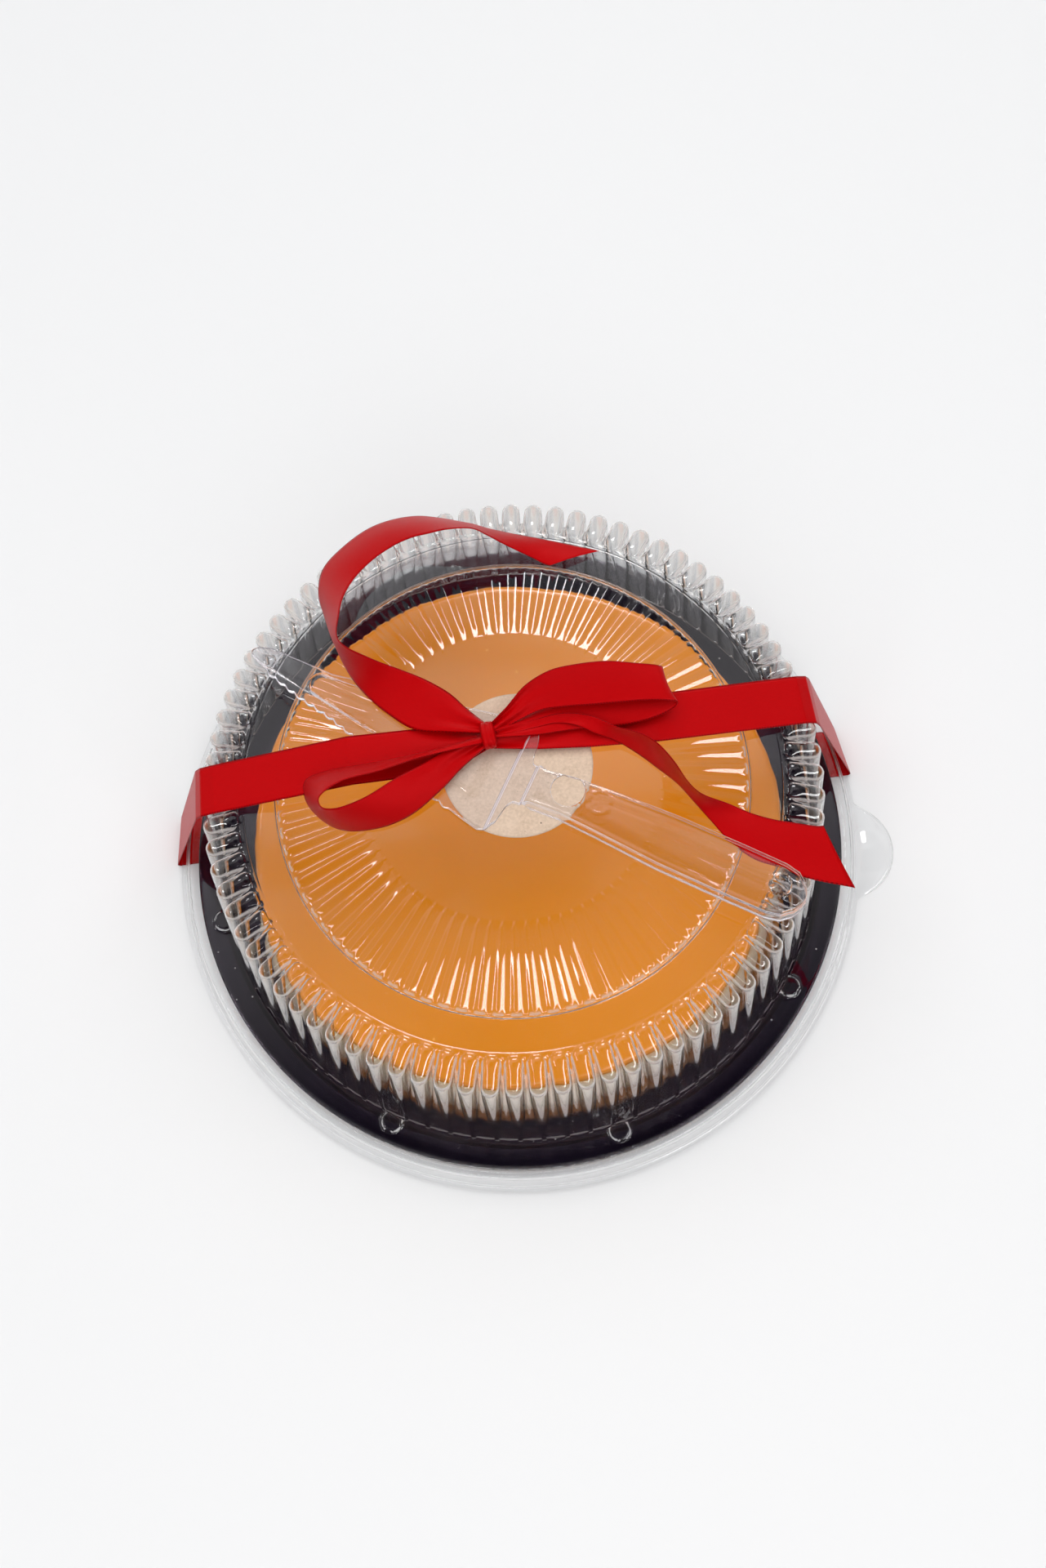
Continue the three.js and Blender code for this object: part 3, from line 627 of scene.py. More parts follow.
# how far across a ridge and how high up it each point of its back is
backTurns = [math.radians(a) for a in (-90, -66, -44, -22, 0, 22, 44, 66, 90)]
roundBack = [(math.sin(a), math.cos(a)) for a in backTurns]
softBack = [
    (-1, 0), (-0.86, 0.06), (-0.62, 0.3), (-0.28, 0.78), (0, 1), (0.28, 0.78), (0.62, 0.3), (0.86, 0.06), (1, 0),
]
ridgeFlare = (1.03, 1.06)  # its sides widen by this much, half way down and at the foot
lidWall = {
    "repeats": 82,
    "turn": 0.42,  # where the first ridge stands, in pitches
    "wall": 0.28,
    "back": roundBack,
    # radius and height of a ridge's crest, of the hub its back is rounded on, and of the valley;
    # half width, steps to the next
    "stations": [
        (134.35, 9.7, 134.2, 9.7, 133.9, 9.7, 0.9, 1), (134.3, 13, 133.6, 13, 133.3, 13, 1.2, 1),
        (134.1, 21, 132.7, 21, 132, 21, 1.7, 2), (133.6, 34, 131.3, 34.5, 130, 36, 2.4, 2),
        (132.6, 52, 129.4, 52.4, 127.8, 53, 3.3, 2), (131.6, 68, 127.9, 68.4, 125.2, 69, 3.8, 1),
        (131, 79, 127.1, 79, 123.8, 79, 4, 1), (130.5, 87, 126.5, 86.9, 122.8, 86.6, 4.05, 1),
        (130.15, 92.4, 126.2, 92, 122.2, 91.2, 4.05, 1), (130, 94, 126.1, 93, 121.9, 92.2, 4, 1),
        (129.6, 95.2, 126.05, 93.1, 121.5, 92.9, 4, 1), (128.9, 96.1, 126, 93.2, 121.1, 93.5, 4, 1),
        (128, 96.8, 125.95, 93.25, 120.7, 94, 4, 1), (127.1, 97.2, 125.8, 93.4, 120.2, 94.5, 4, 2),
        (124.2, 98.2, 122.9, 94.4, 119.2, 95.3, 4, 2), (121.3, 99.2, 120, 95.6, 118.1, 96.1, 3.98, 2),
        (118.6, 100.05, 117.5, 97, 116.9, 97.1, 3.95, 1), (117.2, 100.25, 116.6, 97.9, 116.1, 97.8, 3.8, 1),
        (115.9, 100.15, 115.6, 98.5, 115.3, 98.3, 3.4, 1), (115.1, 99.9, 114.95, 98.85, 114.75, 98.7, 2.85, 1),
        (114.6, 99.55, 114.5, 98.97, 114.4, 98.88, 2.2, 1), (114.3, 99.15, 114.25, 99, 114.2, 98.97, 1.6, 1),
        (113.4, 99, 113.4, 99, 113.3, 99, 1.8, 1), (112.7, 99, 112.7, 99, 112.7, 99, 2, 1),
        (112.5, 98.84, 112.5, 98.84, 112.5, 98.84, 2.5, 1), (112.3, 98.85, 112.3, 98.85, 112.3, 98.85, 2.5, 1),
        (112.1, 99, 112.1, 99, 112.1, 99, 2.5, 1), (111.6, 99, 111.6, 99, 111.6, 99, 2.5, 2),
        (99.55, 99, 99.55, 99, 99.55, 99, 2.5, 1), (99.5, 99, 99.5, 99, 99.5, 99, 2.5, 1),
    ],
}
lidTop = {
    "repeats": 82,
    "turn": 0.60,
    "wall": 0.28,
    "back": softBack,
    # radius, height of a flute's crest and of the valley, half width, steps; the hub is at the valley
    "stations": np.array([
        (99.5, 99, 99, 3.4, 1), (99.45, 99, 99, 3.4, 1), (99.2, 99, 99, 3.4, 1),
        (98.98, 99.42, 99.42, 3.4, 1), (98.72, 99.45, 99.45, 3.4, 1), (98.5, 99.18, 99.18, 2.4, 1),
        (98.1, 99.3, 99.28, 1, 1), (97.95, 100, 99.45, 1.7, 1), (97.7, 100.75, 99.65, 2.45, 1),
        (97.2, 101.4, 99.95, 2.95, 1), (96.3, 101.8, 100.35, 3.25, 1), (95.2, 102.14, 100.75, 3.3, 1),
        (93.5, 102.6, 101.23, 3.3, 1), (91, 103.3, 101.95, 3.2, 3), (80, 106.25, 105.15, 2.75, 3),
        (71, 108.4, 107.65, 2.35, 2), (65.4, 109.6, 109.28, 2.05, 1), (64, 109.85, 109.68, 1.6, 1),
        (63.2, 110.15, 109.85, 0.8, 1), (62.5, 110.12, 109.93, 0.7, 1), (62, 109.98, 109.98, 0.9, 1),
        (61, 110, 110, 1, 1), (30, 110, 110, 0.5, 1), (1, 110, 110, 0.02, 1),
    ])[:, [0, 1, 0, 2, 0, 2, 3, 4]],
}


def ridgedGrid(settings):
    # rows across a ridge of half width w: its back is hub + (crest - hub) q at w p from the middle
    # for each (p, q), its steep sides run from the hub to the valley, and the valley to the next
    place, rise = np.array(settings["back"]).T
    table = np.array(settings["stations"])
    rows = alongCurve(table[:, :7], table[:-1, 7].astype(int), measured=2, power=1.0)
    crest, hub, valley = (rows[:, None, k : k + 2] for k in (0, 2, 4))
    half, pitch = rows[:, 6:7] / rows[:, :1], 2 * np.pi / settings["repeats"]
    back = hub + (crest - hub) * rise[None, :, None]
    side = (hub + valley) / 2
    section = np.concatenate([valley, side, back, side, valley, valley], axis=1)[:, None]
    mid, low = half * ridgeFlare[0], half * ridgeFlare[1]
    offset = np.concatenate([-low, -mid, half * place, mid, low, 0 * half + pitch / 2], axis=1)
    angle = (np.arange(settings["repeats"])[:, None] + settings["turn"]) * pitch + offset[:, None, :]
    return roundAxis(section[..., 0], angle, section[..., 1]).reshape(len(rows), -1, 3)


lowestClear = 0.98  # the lid's sheet comes no lower


def addClearShell(name, grid, wall, cadNode, plastic, pole=False):
    # outer face as given, inner face = outer - wall x normal
    inner = grid - gridNormals(grid, True) * wall
    inner[..., 2] = np.maximum(inner[..., 2], lowestClear)
    return keep(addMesh(name, *closedSheet(grid, inner, True, pole), plastic), "clear_lid", cadNode)


addClearShell("lidRibs", ridgedGrid(lidWall), lidWall["wall"], "lid_dome", makeClear(lidFinish))
addClearShell("lidFlutes", ridgedGrid(lidTop), lidTop["wall"], "lid_dome", makeClear(fluteFinish), pole=True)
print("lid dome made")


# lid flange: flat band with lugs, bead, skirt, thumb tab

flange = {
    "columns": 760,
    "wall": 0.4,
    # radius, height, steps
    "profile": [
        (134.5, 10.0, 1), (135.0, 10.0, 14), (144.6, 10.0, 1), (145.6, 10.05, 1), (146.6, 10.35, 1),
        (147.6, 10.9, 1), (148.5, 11.25, 1), (149.3, 11.2, 1), (150.0, 10.7, 1), (150.5, 9.8, 1), (150.9, 8.6, 2),
        (152.4, 3.6, 1), (152.7, 2.6, 1), (153.1, 2.0, 1), (153.5, 1.75, 1),
    ],
    "lipRows": 12,
    "lipHeight": 1.5,
    "rim": 154.9,
    "lugs": {
        "angles": (12, 54, 98, 143, 189.4, 241.1, 283.6, 325.9), "circle": 137.0, "radius": 5.0, "soft": 0.9,
        "height": 2.4, "within": 143,
    },
    "tab": {
        "centre": (147.5, -15.0), "radius": 22.0, "halfTurn": 8.4, "fillet": 7.0, "height": 1.0, "blend": 12,
        "edge": 2.2, "bead": 0.5, "beadInset": 1.3, "pad": (157.0, -15.6), "padRadius": 10.5, "padHeight": 2.2,
    },
    "crowding": {"lug": (4.5, 2.0), "tab": (2.0, 12.0)},  # columns added there, over how many degrees
}
tabTurn = math.atan2(flange["tab"]["centre"][1], flange["tab"]["centre"][0])


def flangeAngles(settings):
    # spacing = 1 / density, and density = 1 + more exp(-(away / width)^4) for each lug and the tab
    fine = np.linspace(0, 2 * np.pi, 20001)
    density = np.ones_like(fine)
    lugTurns, crowding = np.radians(settings["lugs"]["angles"]), settings["crowding"]
    for middle, (more, width) in [(turn, crowding["lug"]) for turn in lugTurns] + [(tabTurn, crowding["tab"])]:
        density += more * np.exp(-((turnFrom(fine, middle) / math.radians(width)) ** 4))
    total = np.concatenate([[0], np.cumsum((density[1:] + density[:-1]) / 2)])
    return np.interp(np.arange(settings["columns"]) / settings["columns"], total / total[-1], fine)


def flangeGrid(settings):
    # profile rows, then lip rows that reach out to the rim, or to the tab's outline where it is further
    lugs, tab, rim = settings["lugs"], settings["tab"], settings["rim"]
    angle = flangeAngles(settings)
    radius, height = (column + 0 * angle for column in profileRows(settings["profile"]))
    reach, away = math.hypot(*tab["centre"]), turnFrom(angle, tabTurn)
    inside = np.maximum(tab["radius"] ** 2 - (reach * np.sin(away)) ** 2, 0)
    beyond = smoothStep((np.abs(away) - math.radians(tab["halfTurn"])) / 0.05)
    tongue = reach * np.cos(away) + np.sqrt(inside) - 40 * beyond
    overlap = np.maximum(tab["fillet"] - np.abs(rim - tongue), 0) / tab["fillet"]
    outline = np.maximum(rim, tongue) + overlap**2 * tab["fillet"] / 4
    share = np.linspace(0, 1, settings["lipRows"] + 1)[1:, None]
    start, startHeight = settings["profile"][-1][:2]
    lipRadius, toEdge = start + (outline - start) * share, (1 - share) * (outline - start)
    onTab = smoothStep((outline - rim) / tab["blend"])
    lipHeight = settings["lipHeight"] + (startHeight - settings["lipHeight"]) * (1 - share)
    lipHeight = lipHeight + tab["height"] * onTab * smoothStep(toEdge / tab["edge"])
    fromPad = np.hypot(lipRadius * np.cos(angle) - tab["pad"][0], lipRadius * np.sin(angle) - tab["pad"][1])
    lipHeight = lipHeight + tab["padHeight"] * smoothStep(1 - fromPad / tab["padRadius"]) ** 0.8
    lipHeight = lipHeight + tab["bead"] * ridge(toEdge - tab["beadInset"], 1) * onTab
    radius, height = np.concatenate([radius, lipRadius]), np.concatenate([height, lipHeight])
    x, y = radius * np.cos(angle), radius * np.sin(angle)
    for turn in np.radians(lugs["angles"]):
        far = np.hypot(x - lugs["circle"] * math.cos(turn), y - lugs["circle"] * math.sin(turn))
        lug = smoothStep((lugs["radius"] - far) / lugs["soft"])
        height = height + lugs["height"] * lug * (radius < lugs["within"])
    return np.stack([x, y, height], axis=-1)


addClearShell("lidFlange", flangeGrid(flange)[::-1], flange["wall"], "lid_flange", makeClear(rimFinish))
print("lid flange made")


# paper label

label = {
    "centre": (2.9, 4.4), "radius": 31.2, "low": 110.37, "high": 110.66, "lift": 0.08, "segments": 160,
    "dark": (0.58, 0.42, 0.30), "light": (0.76, 0.58, 0.44), "patch": (0.80, 0.63, 0.49),
    "fleck": (0.42, 0.29, 0.19), "spot": (0.06, 0.035, 0.03),
}


def makeKraft(settings):
    # dark to light with the fibres, paler patches, brown flecks and a few dark spots
    material, shader, place = newMaterial("kraftPaper")
    fibre = cloudOver(place, 900.0, 6.0, 0.3, 0.75)
    patches = cloudOver(place, 120.0, 3.0)
    flecks = specksOver(place, 700.0, 0.22, 0.06)
    spots = specksOver(place, 260.0, 0.09, 0.05)
    colour = mixColour(fibre, settings["dark"], settings["light"])
    colour = mixColour(maths("MULTIPLY", patches, 0.35), colour, settings["patch"])
    colour = mixColour(maths("MULTIPLY", flecks, 0.5), colour, settings["fleck"])
    setShader(shader, Base_Color=mixColour(spots, colour, settings["spot"]), Roughness=0.82)
    addBump(shader, fibre, 0.25, 0.0002)
    return material


def labelRings(settings):
    # a paper disc whose edge lifts a little: z = high + lift (r/R)^6 (1 + sin 3a)/2
    angle = evenTurns(settings["segments"])
    share = np.array([0.02, 0.5, 0.96, 1.0, 1.0, 0.96, 0.85, 0.6, 0.3, 0.02])[:, None]
    top = np.array([0, 0, 0, 0.25, 0.85, 1, 1, 1, 1, 1])[:, None]
    lift = settings["lift"] * share**6 * (1 + np.sin(3 * angle + 1)) / 2
    height = settings["low"] + (settings["high"] - settings["low"]) * top + lift
    return roundAxis(settings["radius"] * share, angle, height) + [*settings["centre"], 0]


keep(addMesh("paperLabel", *closedBody(labelRings(label)), makeKraft(label)), "label_paper", "label")
print("label made")


# cake server

server = {
    "origin": (7.2, -6.7),
    "turn": math.radians(-29.5),
    "low": 111.15,  # underside of the blade
    "thick": 1.45,
    "rise": 6.2,  # from blade to handle, in two steps
    "steps": [(-10.6, 2.4), (-1.0, 2.2)],  # where each begins, and its run
    "rows": [(-131.6, -127.6, 9), (-127.6, -14, 165), (-14, 5, 42), (5, 111, 110), (111, 120.8, 26)],
    "columns": 53,
    # edges in the plan, along and across the server
    "lower": [
        (-131.6, 8.2), (-130.6, 6.2), (-120.1, 2.2), (-104.6, -2.1), (-88.3, -5.2), (-75.3, -8.8), (-35, -18.9),
        (-22.3, -22.6), (-13, -24.8), (-9, -23.4), (-6.6, -19.6), (-5.4, -12), (-3.6, -9.2), (0, -8.8), (16, -8),
        (33, -9), (60, -11.2), (90, -12), (108, -12.2), (114, -11), (118, -7.6), (120, -4), (120.8, -0.5),
    ],
    "upper": [
        (-131.6, 9.2), (-129.6, 11.2), (-124, 12.8), (-96, 12.6), (-38, 21.8), (-24, 24.4), (-12, 25.2), (-6.6, 24),
        (-4.4, 19), (-3.6, 12), (-2.6, 9.4), (0, 9), (15.5, 11.2), (34, 12.4), (60, 13.2), (90, 12.8), (108, 12.3),
        (114, 11), (118, 7.6), (120, 4), (120.8, 0.5),
    ],
    "scallops": {"from": -122, "to": -27, "pitch": 5.0, "depth": 1.1},
    "teeth": {"line": [(-126, 5.4), (-98, 1.0), (-68, -4.2), (-22, -12.2)], "depth": 0.55},
    "panel": {"start": -98, "end": -18, "middle": (5.6, 2.0), "half": (4.6, 14.0), "height": 0.9},
    "skirt": {"depth": 5.0, "inset": 1.6, "run": 1.4},
    "crown": {"height": 0.35, "run": 9},
    "bead": {"height": 0.22, "inset": 2.6, "width": 0.5},
    "rolledEdge": {"depth": 0.6, "run": 0.9},
    # x, y, radius
    "hole": (15.4, 3.6, 6.9),
    "mark": (29, 4.2, 4.6),
    "boss": (109, 1.4, 5.0),
}


def serverGrid(settings):
    # z(u, v) = low + thick + rise in two steps - skirt near the handle's edge + panel and beads
    u = np.concatenate([np.linspace(*span)[:-1] for span in settings["rows"]] + [[settings["rows"][-1][1]]])
    low, high = (np.interp(u, *np.array(settings[key]).T) for key in ("lower", "upper"))
    bite = settings["scallops"]
    bitten = (u > bite["from"]) & (u < bite["to"])
    low = low - bitten * bite["depth"] * np.abs(np.sin(np.pi * (u - bite["from"]) / bite["pitch"]))
    share = np.linspace(0, 1, settings["columns"])
    share = share - 0.115 * np.sin(2 * np.pi * share)  # columns crowd at both edges
    v = low[:, None] + (high - low)[:, None] * share
    u = u[:, None]
    edge = np.minimum(v - low[:, None], high[:, None] - v)
    onHandle = smoothStep((u - 0.5) / 3.5)
    first, second = (smoothStep((u - start) / run) for start, run in settings["steps"])
    z = settings["low"] + settings["thick"] + settings["rise"] * (first + second) / 2 + 0 * v
    skirt, crown, bead, rolled = (settings[key] for key in ("skirt", "crown", "bead", "rolledEdge"))
    z = z - skirt["depth"] * smoothStep((skirt["inset"] - edge) / skirt["run"]) * onHandle
    beaded = bead["height"] * ridge(edge - bead["inset"], bead["width"])
    z = z + onHandle * (crown["height"] * smoothStep(edge / crown["run"]) + beaded)
    z = z - (1 - onHandle) * rolled["depth"] * smoothStep((rolled["run"] - edge) / rolled["run"])
    line = np.interp(u, *np.array(settings["teeth"]["line"]).T)
    z = z - settings["teeth"]["depth"] * smoothStep((line - v) / 0.9) * smoothStep((-15 - u) / 6)
    panel = settings["panel"]
    along = np.clip((u - panel["start"]) / (panel["end"] - panel["start"]), 0, 1)
    middle, half = (panel[key][0] + (panel[key][1] - panel[key][0]) * along for key in ("middle", "half"))
    outside = np.hypot(np.minimum(u - panel["start"], 0), v - middle) - half
    z = z + panel["height"] * smoothStep((0.6 - outside) / 1.1) * smoothStep((panel["end"] - u) / 5)
    hole, mark, boss = (settings[key] for key in ("hole", "mark", "boss"))
    fromHole, fromMark, fromBoss = (np.hypot(u - x, v - y) for x, y, _ in (hole, mark, boss))
    z = z + 0.5 * ridge(fromHole - hole[2] - 0.8, 0.42) + 0.36 * ridge(fromMark - mark[2], 0.34)
    z = z + 1.1 * smoothStep((boss[2] - fromBoss) / 1.3) - 0.7 * smoothStep((2.4 - fromBoss) / 1.2)
    z = np.minimum(z, settings["low"] + settings["thick"] + settings["rise"] + 0.9)
    return np.stack([u + 0 * v, v, z], axis=-1)


def onServer(points):
    # along and across the server to x and y: turn about the origin, then move
    c, s = math.cos(server["turn"]), math.sin(server["turn"])
    x = server["origin"][0] + points[..., 0] * c - points[..., 1] * s
    y = server["origin"][1] + points[..., 0] * s + points[..., 1] * c
    return np.stack([x, y, points[..., 2]], axis=-1)


def cutHole(piece, cutter):
    # the piece minus the cutter, whose flat faces leave a crisp edge
    cutter.data.polygons.foreach_set("use_smooth", np.zeros(len(cutter.data.polygons), dtype=bool))
    cut = piece.modifiers.new("hole", "BOOLEAN")
    cut.object, cut.operation, cut.solver = cutter, "DIFFERENCE", "EXACT"
    made = bpy.data.meshes.new_from_object(piece.evaluated_get(bpy.context.evaluated_depsgraph_get()))
    piece.modifiers.clear()
    piece.data = made
    bpy.data.objects.remove(cutter)


serverPlastic = makeClear(serverFinish)
serverTop = serverGrid(server)[:, ::-1]
serverLow = serverTop - [0, 0, server["thick"]]
serverLow[..., 2] = np.maximum(serverLow[..., 2], server["low"])  # flat underneath
cakeServer = addMesh("cakeServer", *closedSheet(onServer(serverTop), onServer(serverLow), False), serverPlastic)
holeX, holeY, holeRadius = server["hole"]
drill = turnedRings([(0.5, 112, 1), (holeRadius, 112, 1), (holeRadius, 122, 1), (0.5, 122, 1)], 48)
cutHole(cakeServer, addMesh("drill", *closedBody(onServer(drill + [holeX, holeY, 0])), serverPlastic))
keep(cakeServer, "clear_server", "cake_server")
print("server made")


# ribbon

ribbon = {
    "width": 22.0,
    "thickness": 0.28,
    "across": 14,
    "bandRows": 320,
    "curveRows": 6,  # from each station to the next
    "besideCorner": 0.8,  # rows of the band on both sides of a corner
    # height of the folds at its start and its end, and of the crown across it
    "strips": {
        "band": (1.2, 1.2, 0.0), "leftLoop": (1.2, 0.8, 0.9), "rightLoop": (1.6, 1.2, 0.9),
        "upperTail": (1.0, 0.0, 0.9), "lowerTail": (0.5, 0.0, 0.9),
    },
    "foldReach": 20,
    "foldWaves": 1.5,
    "dark": (0.42, 0.0, 0.001),
    "light": (0.55, 0.0, 0.0015),
    "stitch": (0.17, 0.0, 0.002),
    "gloss": (1.0, 0.06, 0.07),
    "sheen": (1.0, 0.12, 0.16),
    # stations: one edge x, y, z, then the other edge x, y, z
    "band": [
        (-8, 21, 115, -8, 11, 115), (-20, 22.4, 114.2, -20, 5, 114.2), (-38, 23, 114, -37, 2.4, 114),
        (-66, 22.6, 114.1, -65, 1.4, 114.1), (-124, 20.4, 100.4, -124, -0.8, 100.4),
        (-129.4, 20.3, 98.4, -129.8, -1, 98.4), (-132, 20.8, 94, -132.8, -0.8, 94),
        (-139.2, 24.2, 63.8, -140.6, 2.3, 63.8), (-146.4, 27.6, 33.6, -148.4, 5.3, 33.6),
        (-153.6, 31, 3.4, -156.2, 8.4, 3.4), (-154, 31.1, 1.6, -156.6, 8.5, 1.6),
        (-152.9, 31.1, 0.3, -155.6, 8.5, 0.3), (149.6, 44, 0.3, 154.1, 21.6, 0.3),
        (150.6, 44.2, 1.6, 155.1, 21.7, 1.6), (150.3, 44.1, 3.4, 154.8, 21.6, 3.4),
        (143.2, 41.5, 33.5, 146.9, 19.3, 33.5), (136.1, 38.8, 63.5, 138.9, 16.9, 63.5),
        (129, 36.2, 93.6, 131, 14.6, 93.6), (127, 35.8, 98.2, 129, 14.4, 98.2),
        (122.6, 35.2, 100.8, 124.6, 14, 100.8), (106, 33.6, 103.8, 107, 12.4, 103.8),
        (62, 29, 112.4, 62, 8.2, 112.4), (34, 26.6, 113.4, 34, 8.2, 113.4), (10, 24, 113.7, 10, 9.4, 113.7),
        (-7.6, 21, 115, -7.6, 11, 115),
    ],
    "leftLoop": [
        (-8, 12.4, 116, -8, 17, 117), (-19.5, 4, 115, -24, 12, 118.6), (-29, -4.6, 114.4, -35, 5.6, 120.4),
        (-42.3, -13.6, 112.6, -47.2, -0.6, 122.6), (-56.5, -17.5, 111.6, -59.6, -7.8, 124.4),
        (-71, -16, 109.6, -71, -11.6, 125.6), (-79.8, -9.5, 107.6, -76.8, -10.8, 126),
        (-85, -1.4, 108, -77.8, -6.8, 126), (-84.6, 6, 110.4, -74.2, -3.4, 125.8), (-76, 8.6, 113, -67, -0.2, 126),
        (-60.4, 9.4, 115.2, -53, 2.4, 125.4), (-40, 11, 116, -36, 7.4, 123), (-8, 15, 117, -8, 13, 119),
    ],
    "rightLoop": [
        (-8, 15, 118, -8, 19, 119), (4, 20, 119.4, 0.8, 26, 122), (14.4, 23.6, 120.6, 9, 33.4, 125),
        (25, 23.8, 121.4, 19.6, 38, 127.6), (34, 23.4, 122, 29.8, 39.2, 128.6), (47.4, 23, 122.6, 43.4, 39.2, 129),
        (59, 22.8, 122.6, 55.6, 37.4, 128), (67.5, 22.2, 121.6, 63.4, 36.6, 126),
        (70.8, 22, 119.4, 66, 36.6, 122.8), (69.4, 20.6, 117.2, 64.6, 36.2, 119.6),
        (60.2, 17.2, 116.2, 55.4, 34.8, 117.8), (46.6, 15.4, 115.8, 43, 33, 117.2),
        (28.8, 15.6, 115.6, 27.8, 30.4, 116.8), (11.2, 14.6, 116, 10.4, 24, 116.8), (-8, 15, 116.4, -8, 18, 117),
    ],
    "upperTail": [
        (-8, 17, 117, -8, 21, 117.6), (-24.4, 19.2, 117, -15.4, 28, 118.6), (-37.8, 22.2, 115.6, -22.2, 35.2, 120),
        (-47.3, 29.6, 114.4, -31.8, 42, 120.8), (-55.6, 38.2, 114.4, -41.7, 46.6, 123),
        (-62.6, 49, 113.4, -52.3, 50.6, 127), (-69.4, 67.6, 109, -65.5, 60.2, 127),
        (-72.8, 81.4, 104, -64.9, 73.4, 122.9), (-74.8, 92.7, 102.2, -62.8, 83.5, 118),
        (-72.1, 104.3, 101.4, -57.8, 93.4, 113.7), (-63, 113.7, 101.2, -49.7, 101.1, 113.1),
        (-51.2, 121.4, 101, -39.9, 106.9, 113.1), (-40.4, 124.5, 101, -32.3, 109, 114.4),
        (-29.7, 125, 101, -25.2, 109.4, 115.9), (-18.5, 122.6, 101, -17.1, 109.3, 118.5),
        (-8.2, 119.2, 101, -6.7, 108.3, 119), (0.7, 115.8, 101, -0.6, 106.4, 115), (11, 112.2, 101, 7, 103.2, 110),
        (24, 108.2, 101, 16.9, 98.8, 105.4), (35, 104.5, 101, 21.8, 96, 104), (46.5, 100.6, 101, 24.6, 94.8, 103.6),
    ],
    "lowerTail": [
        (-8, 14, 117.4, -8, 16.4, 117.8), (11.6, 17.6, 117.2, 10.2, 20.6, 117.6),
        (21, 18.6, 117.4, 23.8, 22.4, 117.8), (28.6, 16.8, 117.4, 35.2, 19.6, 118.8),
        (35.6, 13.2, 116, 45, 13.2, 121), (44.7, 9.2, 114, 54, 9, 122.6), (52.6, 3.8, 112, 60.2, 3.6, 124.4),
        (59.9, -2.8, 111.2, 66, -5.6, 126.4), (67.4, -10.2, 110.8, 70.6, -14.6, 126),
        (73, -17.8, 109.8, 75.8, -18.6, 121), (79.8, -27.4, 108.4, 86.6, -21.4, 113.4),
        (87.2, -37.2, 106.6, 95.6, -25, 109.4), (95.6, -43.8, 104.4, 104.3, -28, 107.6),
        (105.2, -47.7, 103, 114.2, -30.4, 106.4), (116, -53, 102.6, 121.6, -32, 105.4),
        (134.8, -58.6, 101.4, 125, -32, 104.6),
    ],
}


def makeSatin(settings):
    # u runs across the ribbon, v along it in widths; threads along and a finer weft across give
    # the shade, and a row of stitches runs along both edges
    material, shader, _ = newMaterial("redSatin")
    tree = material.node_tree
    uv = node(tree, "ShaderNodeUVMap", uv_map="strip").outputs[0]
    parts = node(tree, "ShaderNodeSeparateXYZ", {0: uv}).outputs
    fromMiddle = maths("ABSOLUTE", maths("SUBTRACT", parts["X"], 0.5))
    edge = spread(fromMiddle, 0.462, 0.478)
    wave = maths("SINE", maths("MULTIPLY", parts["Y"], 118.0))
    stitch = maths("ADD", maths("MULTIPLY", wave, 0.5), 0.5)

    def yarn(scale, detail):
        stretch = node(tree, "ShaderNodeMapping", {"Vector": uv, "Scale": scale})
        inputs = {"Vector": stretch.outputs[0], "Scale": 1.0, "Detail": detail}
        return node(tree, "ShaderNodeTexNoise", inputs).outputs[0]

    weft = maths("MULTIPLY", yarn((14.0, 420.0, 1.0), 2.0), 0.7)
    weave = maths("ADD", yarn((260.0, 7.0, 1.0), 3.0), weft)
    colour = mixColour(spread(weave, 0.55, 1.15), settings["dark"], settings["light"])
    dots = maths("MULTIPLY", edge, stitch)
    setShader(shader, Base_Color=mixColour(dots, colour, settings["stitch"]))
    setShader(shader, Roughness=spread(weave, 0.4, 1.3, 0.34, 0.46))
    setShader(shader, Specular_IOR_Level=0.55, Specular_Tint=settings["gloss"])
    setShader(shader, Sheen_Weight=0.05, Sheen_Roughness=0.3, Sheen_Tint=settings["sheen"])
    addBump(shader, maths("SUBTRACT", weave, maths("MULTIPLY", dots, 1.5)), 0.35, 0.00012)
    return material


def stripRows(name):
    # both edges along the strip: straight between the band's stations, else a curve through them
    table = np.array(ribbon[name], float)
    if name != "band":
        return alongCurve(table, [ribbon["curveRows"]] * (len(table) - 1), measured=6, power=0.5)
    knots = np.concatenate([[0], np.cumsum(np.linalg.norm(np.diff(table[:, :3], axis=0), axis=1))])
    corners, gap = knots[1:-1], ribbon["besideCorner"]
    where = np.concatenate([np.linspace(0, knots[-1], ribbon["bandRows"]), knots, corners - gap, corners + gap])
    return np.stack([np.interp(np.unique(where), knots, table[:, k]) for k in range(6)], axis=1)


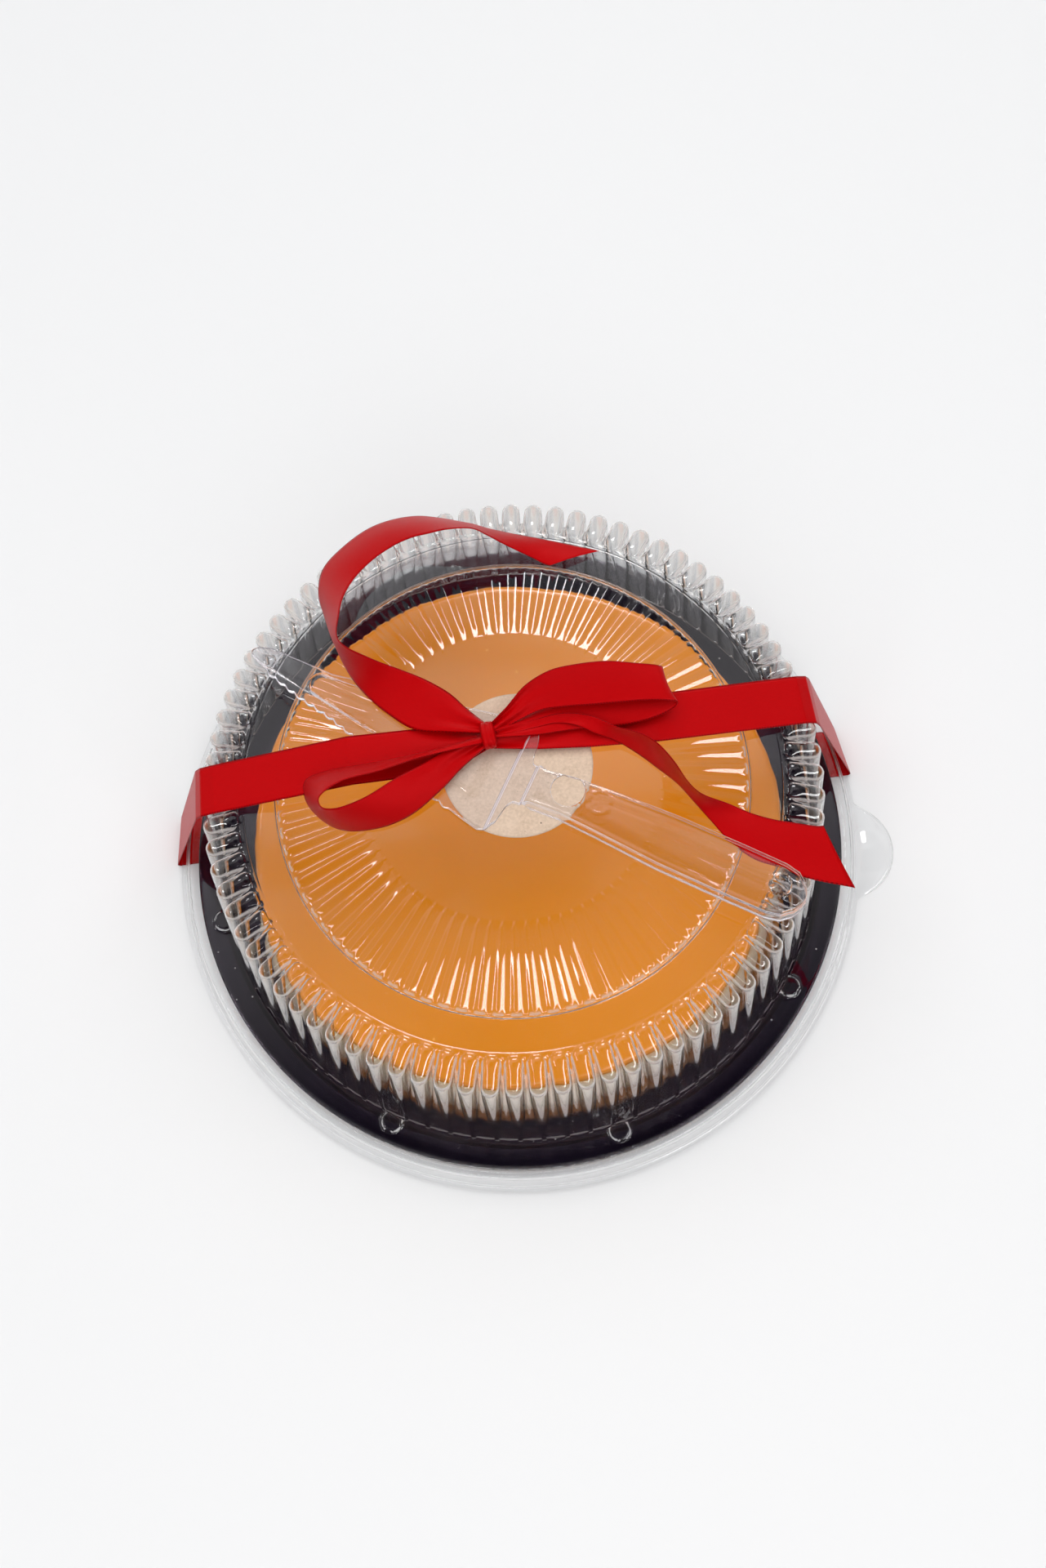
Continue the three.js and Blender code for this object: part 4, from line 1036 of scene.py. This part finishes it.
def stripParts(name, startFold, endFold, crown):
    # point(s, t) = edge a (1 - t) + edge b t + normal (crown sin(pi t) + fold(s) sin(2 pi waves t)),
    # where a fold dies away from its end of the strip; a closed thin sheet with its own uv
    rows = stripRows(name)
    share = np.linspace(0, 1, ribbon["across"] + 1)[None, :, None]
    flat = rows[:, None, :3] * (1 - share) + rows[:, None, 3:] * share
    middle = (rows[:, :3] + rows[:, 3:]) / 2
    length = np.concatenate([[0], np.cumsum(np.linalg.norm(np.diff(middle, axis=0), axis=1))])
    reach = ribbon["foldReach"]
    fold = startFold * ridge(length, reach) + endFold * ridge(length[-1] - length, reach)
    waves = fold[:, None, None] * np.sin(2 * np.pi * ribbon["foldWaves"] * share + 0.6)
    grid = flat + gridNormals(flat, False) * (crown * np.sin(np.pi * share) + waves)
    half = gridNormals(grid, False) * ribbon["thickness"] / 2
    points, faces = closedSheet(grid + half, grid - half, False)
    across, along = share[..., 0], length[:, None]
    uv = np.stack([across + 0 * along, along / ribbon["width"] + 0 * across], axis=-1)
    print("ribbon", name, "runs", round(length[-1]), "mm")
    return points, faces, np.concatenate([uv.reshape(-1, 2)] * 2), length[-1]


def joinParts(parts):
    # several meshes as one: points in a row, faces moved on by the points before them
    starts = np.cumsum([0] + [len(points) for points, *_ in parts])
    faceSets = [faces + start for start, part in zip(starts, parts) for faces in part[1]]
    return np.concatenate([part[0] for part in parts]), faceSets, np.concatenate([part[2] for part in parts])


redSatin = makeSatin(ribbon)
strips = [stripParts(name, *finish) for name, finish in ribbon["strips"].items()]
ribbonPoints, ribbonFaces, ribbonUv = joinParts(strips)
satinRibbon = keep(addMesh("satinRibbon", ribbonPoints, ribbonFaces, redSatin, ribbonUv), "satin", "ribbon")

knot = {"centre": (-7.8, 16.0, 117.4), "length": 6.4, "half": (5.8, 4.3), "turn": -6.0}


def knotRings(settings):
    # a barrel along x: y = ay cos a, z = az sin a, pinched in towards both ends, with faint creases
    angle = np.linspace(0, 2 * np.pi, 96, endpoint=False)
    along = np.linspace(-1, 1, 25)[:, None]
    pinch = np.sqrt(np.maximum(1 - 0.995 * along**8, 0))
    crease = 1 + 0.02 * np.sin(3 * along * np.pi + 2 * np.sin(angle))
    x = settings["length"] / 2 * along + 0 * angle
    y = settings["half"][0] * pinch * crease * np.cos(angle)
    z = settings["half"][1] * pinch * crease * np.sin(angle)
    c, s = math.cos(math.radians(settings["turn"])), math.sin(math.radians(settings["turn"]))
    cx, cy, cz = settings["centre"]
    grid = np.stack([cx + x * c + y * s, cy - x * s + y * c, cz + z], axis=-1)
    return grid, np.stack([(along + 1) / 2 + 0 * angle, 0 * along + angle * 6 / ribbon["width"]], axis=-1)


knotGrid, knotUv = knotRings(knot)
knotUv = np.concatenate([knotUv.reshape(-1, 2), [[0.0, 0.0], [1.0, 0.0]]])  # and the two poles
ribbonKnot = keep(addMesh("ribbonKnot", *closedBody(knotGrid), redSatin, knotUv), "satin", "ribbon")
print("ribbon made")
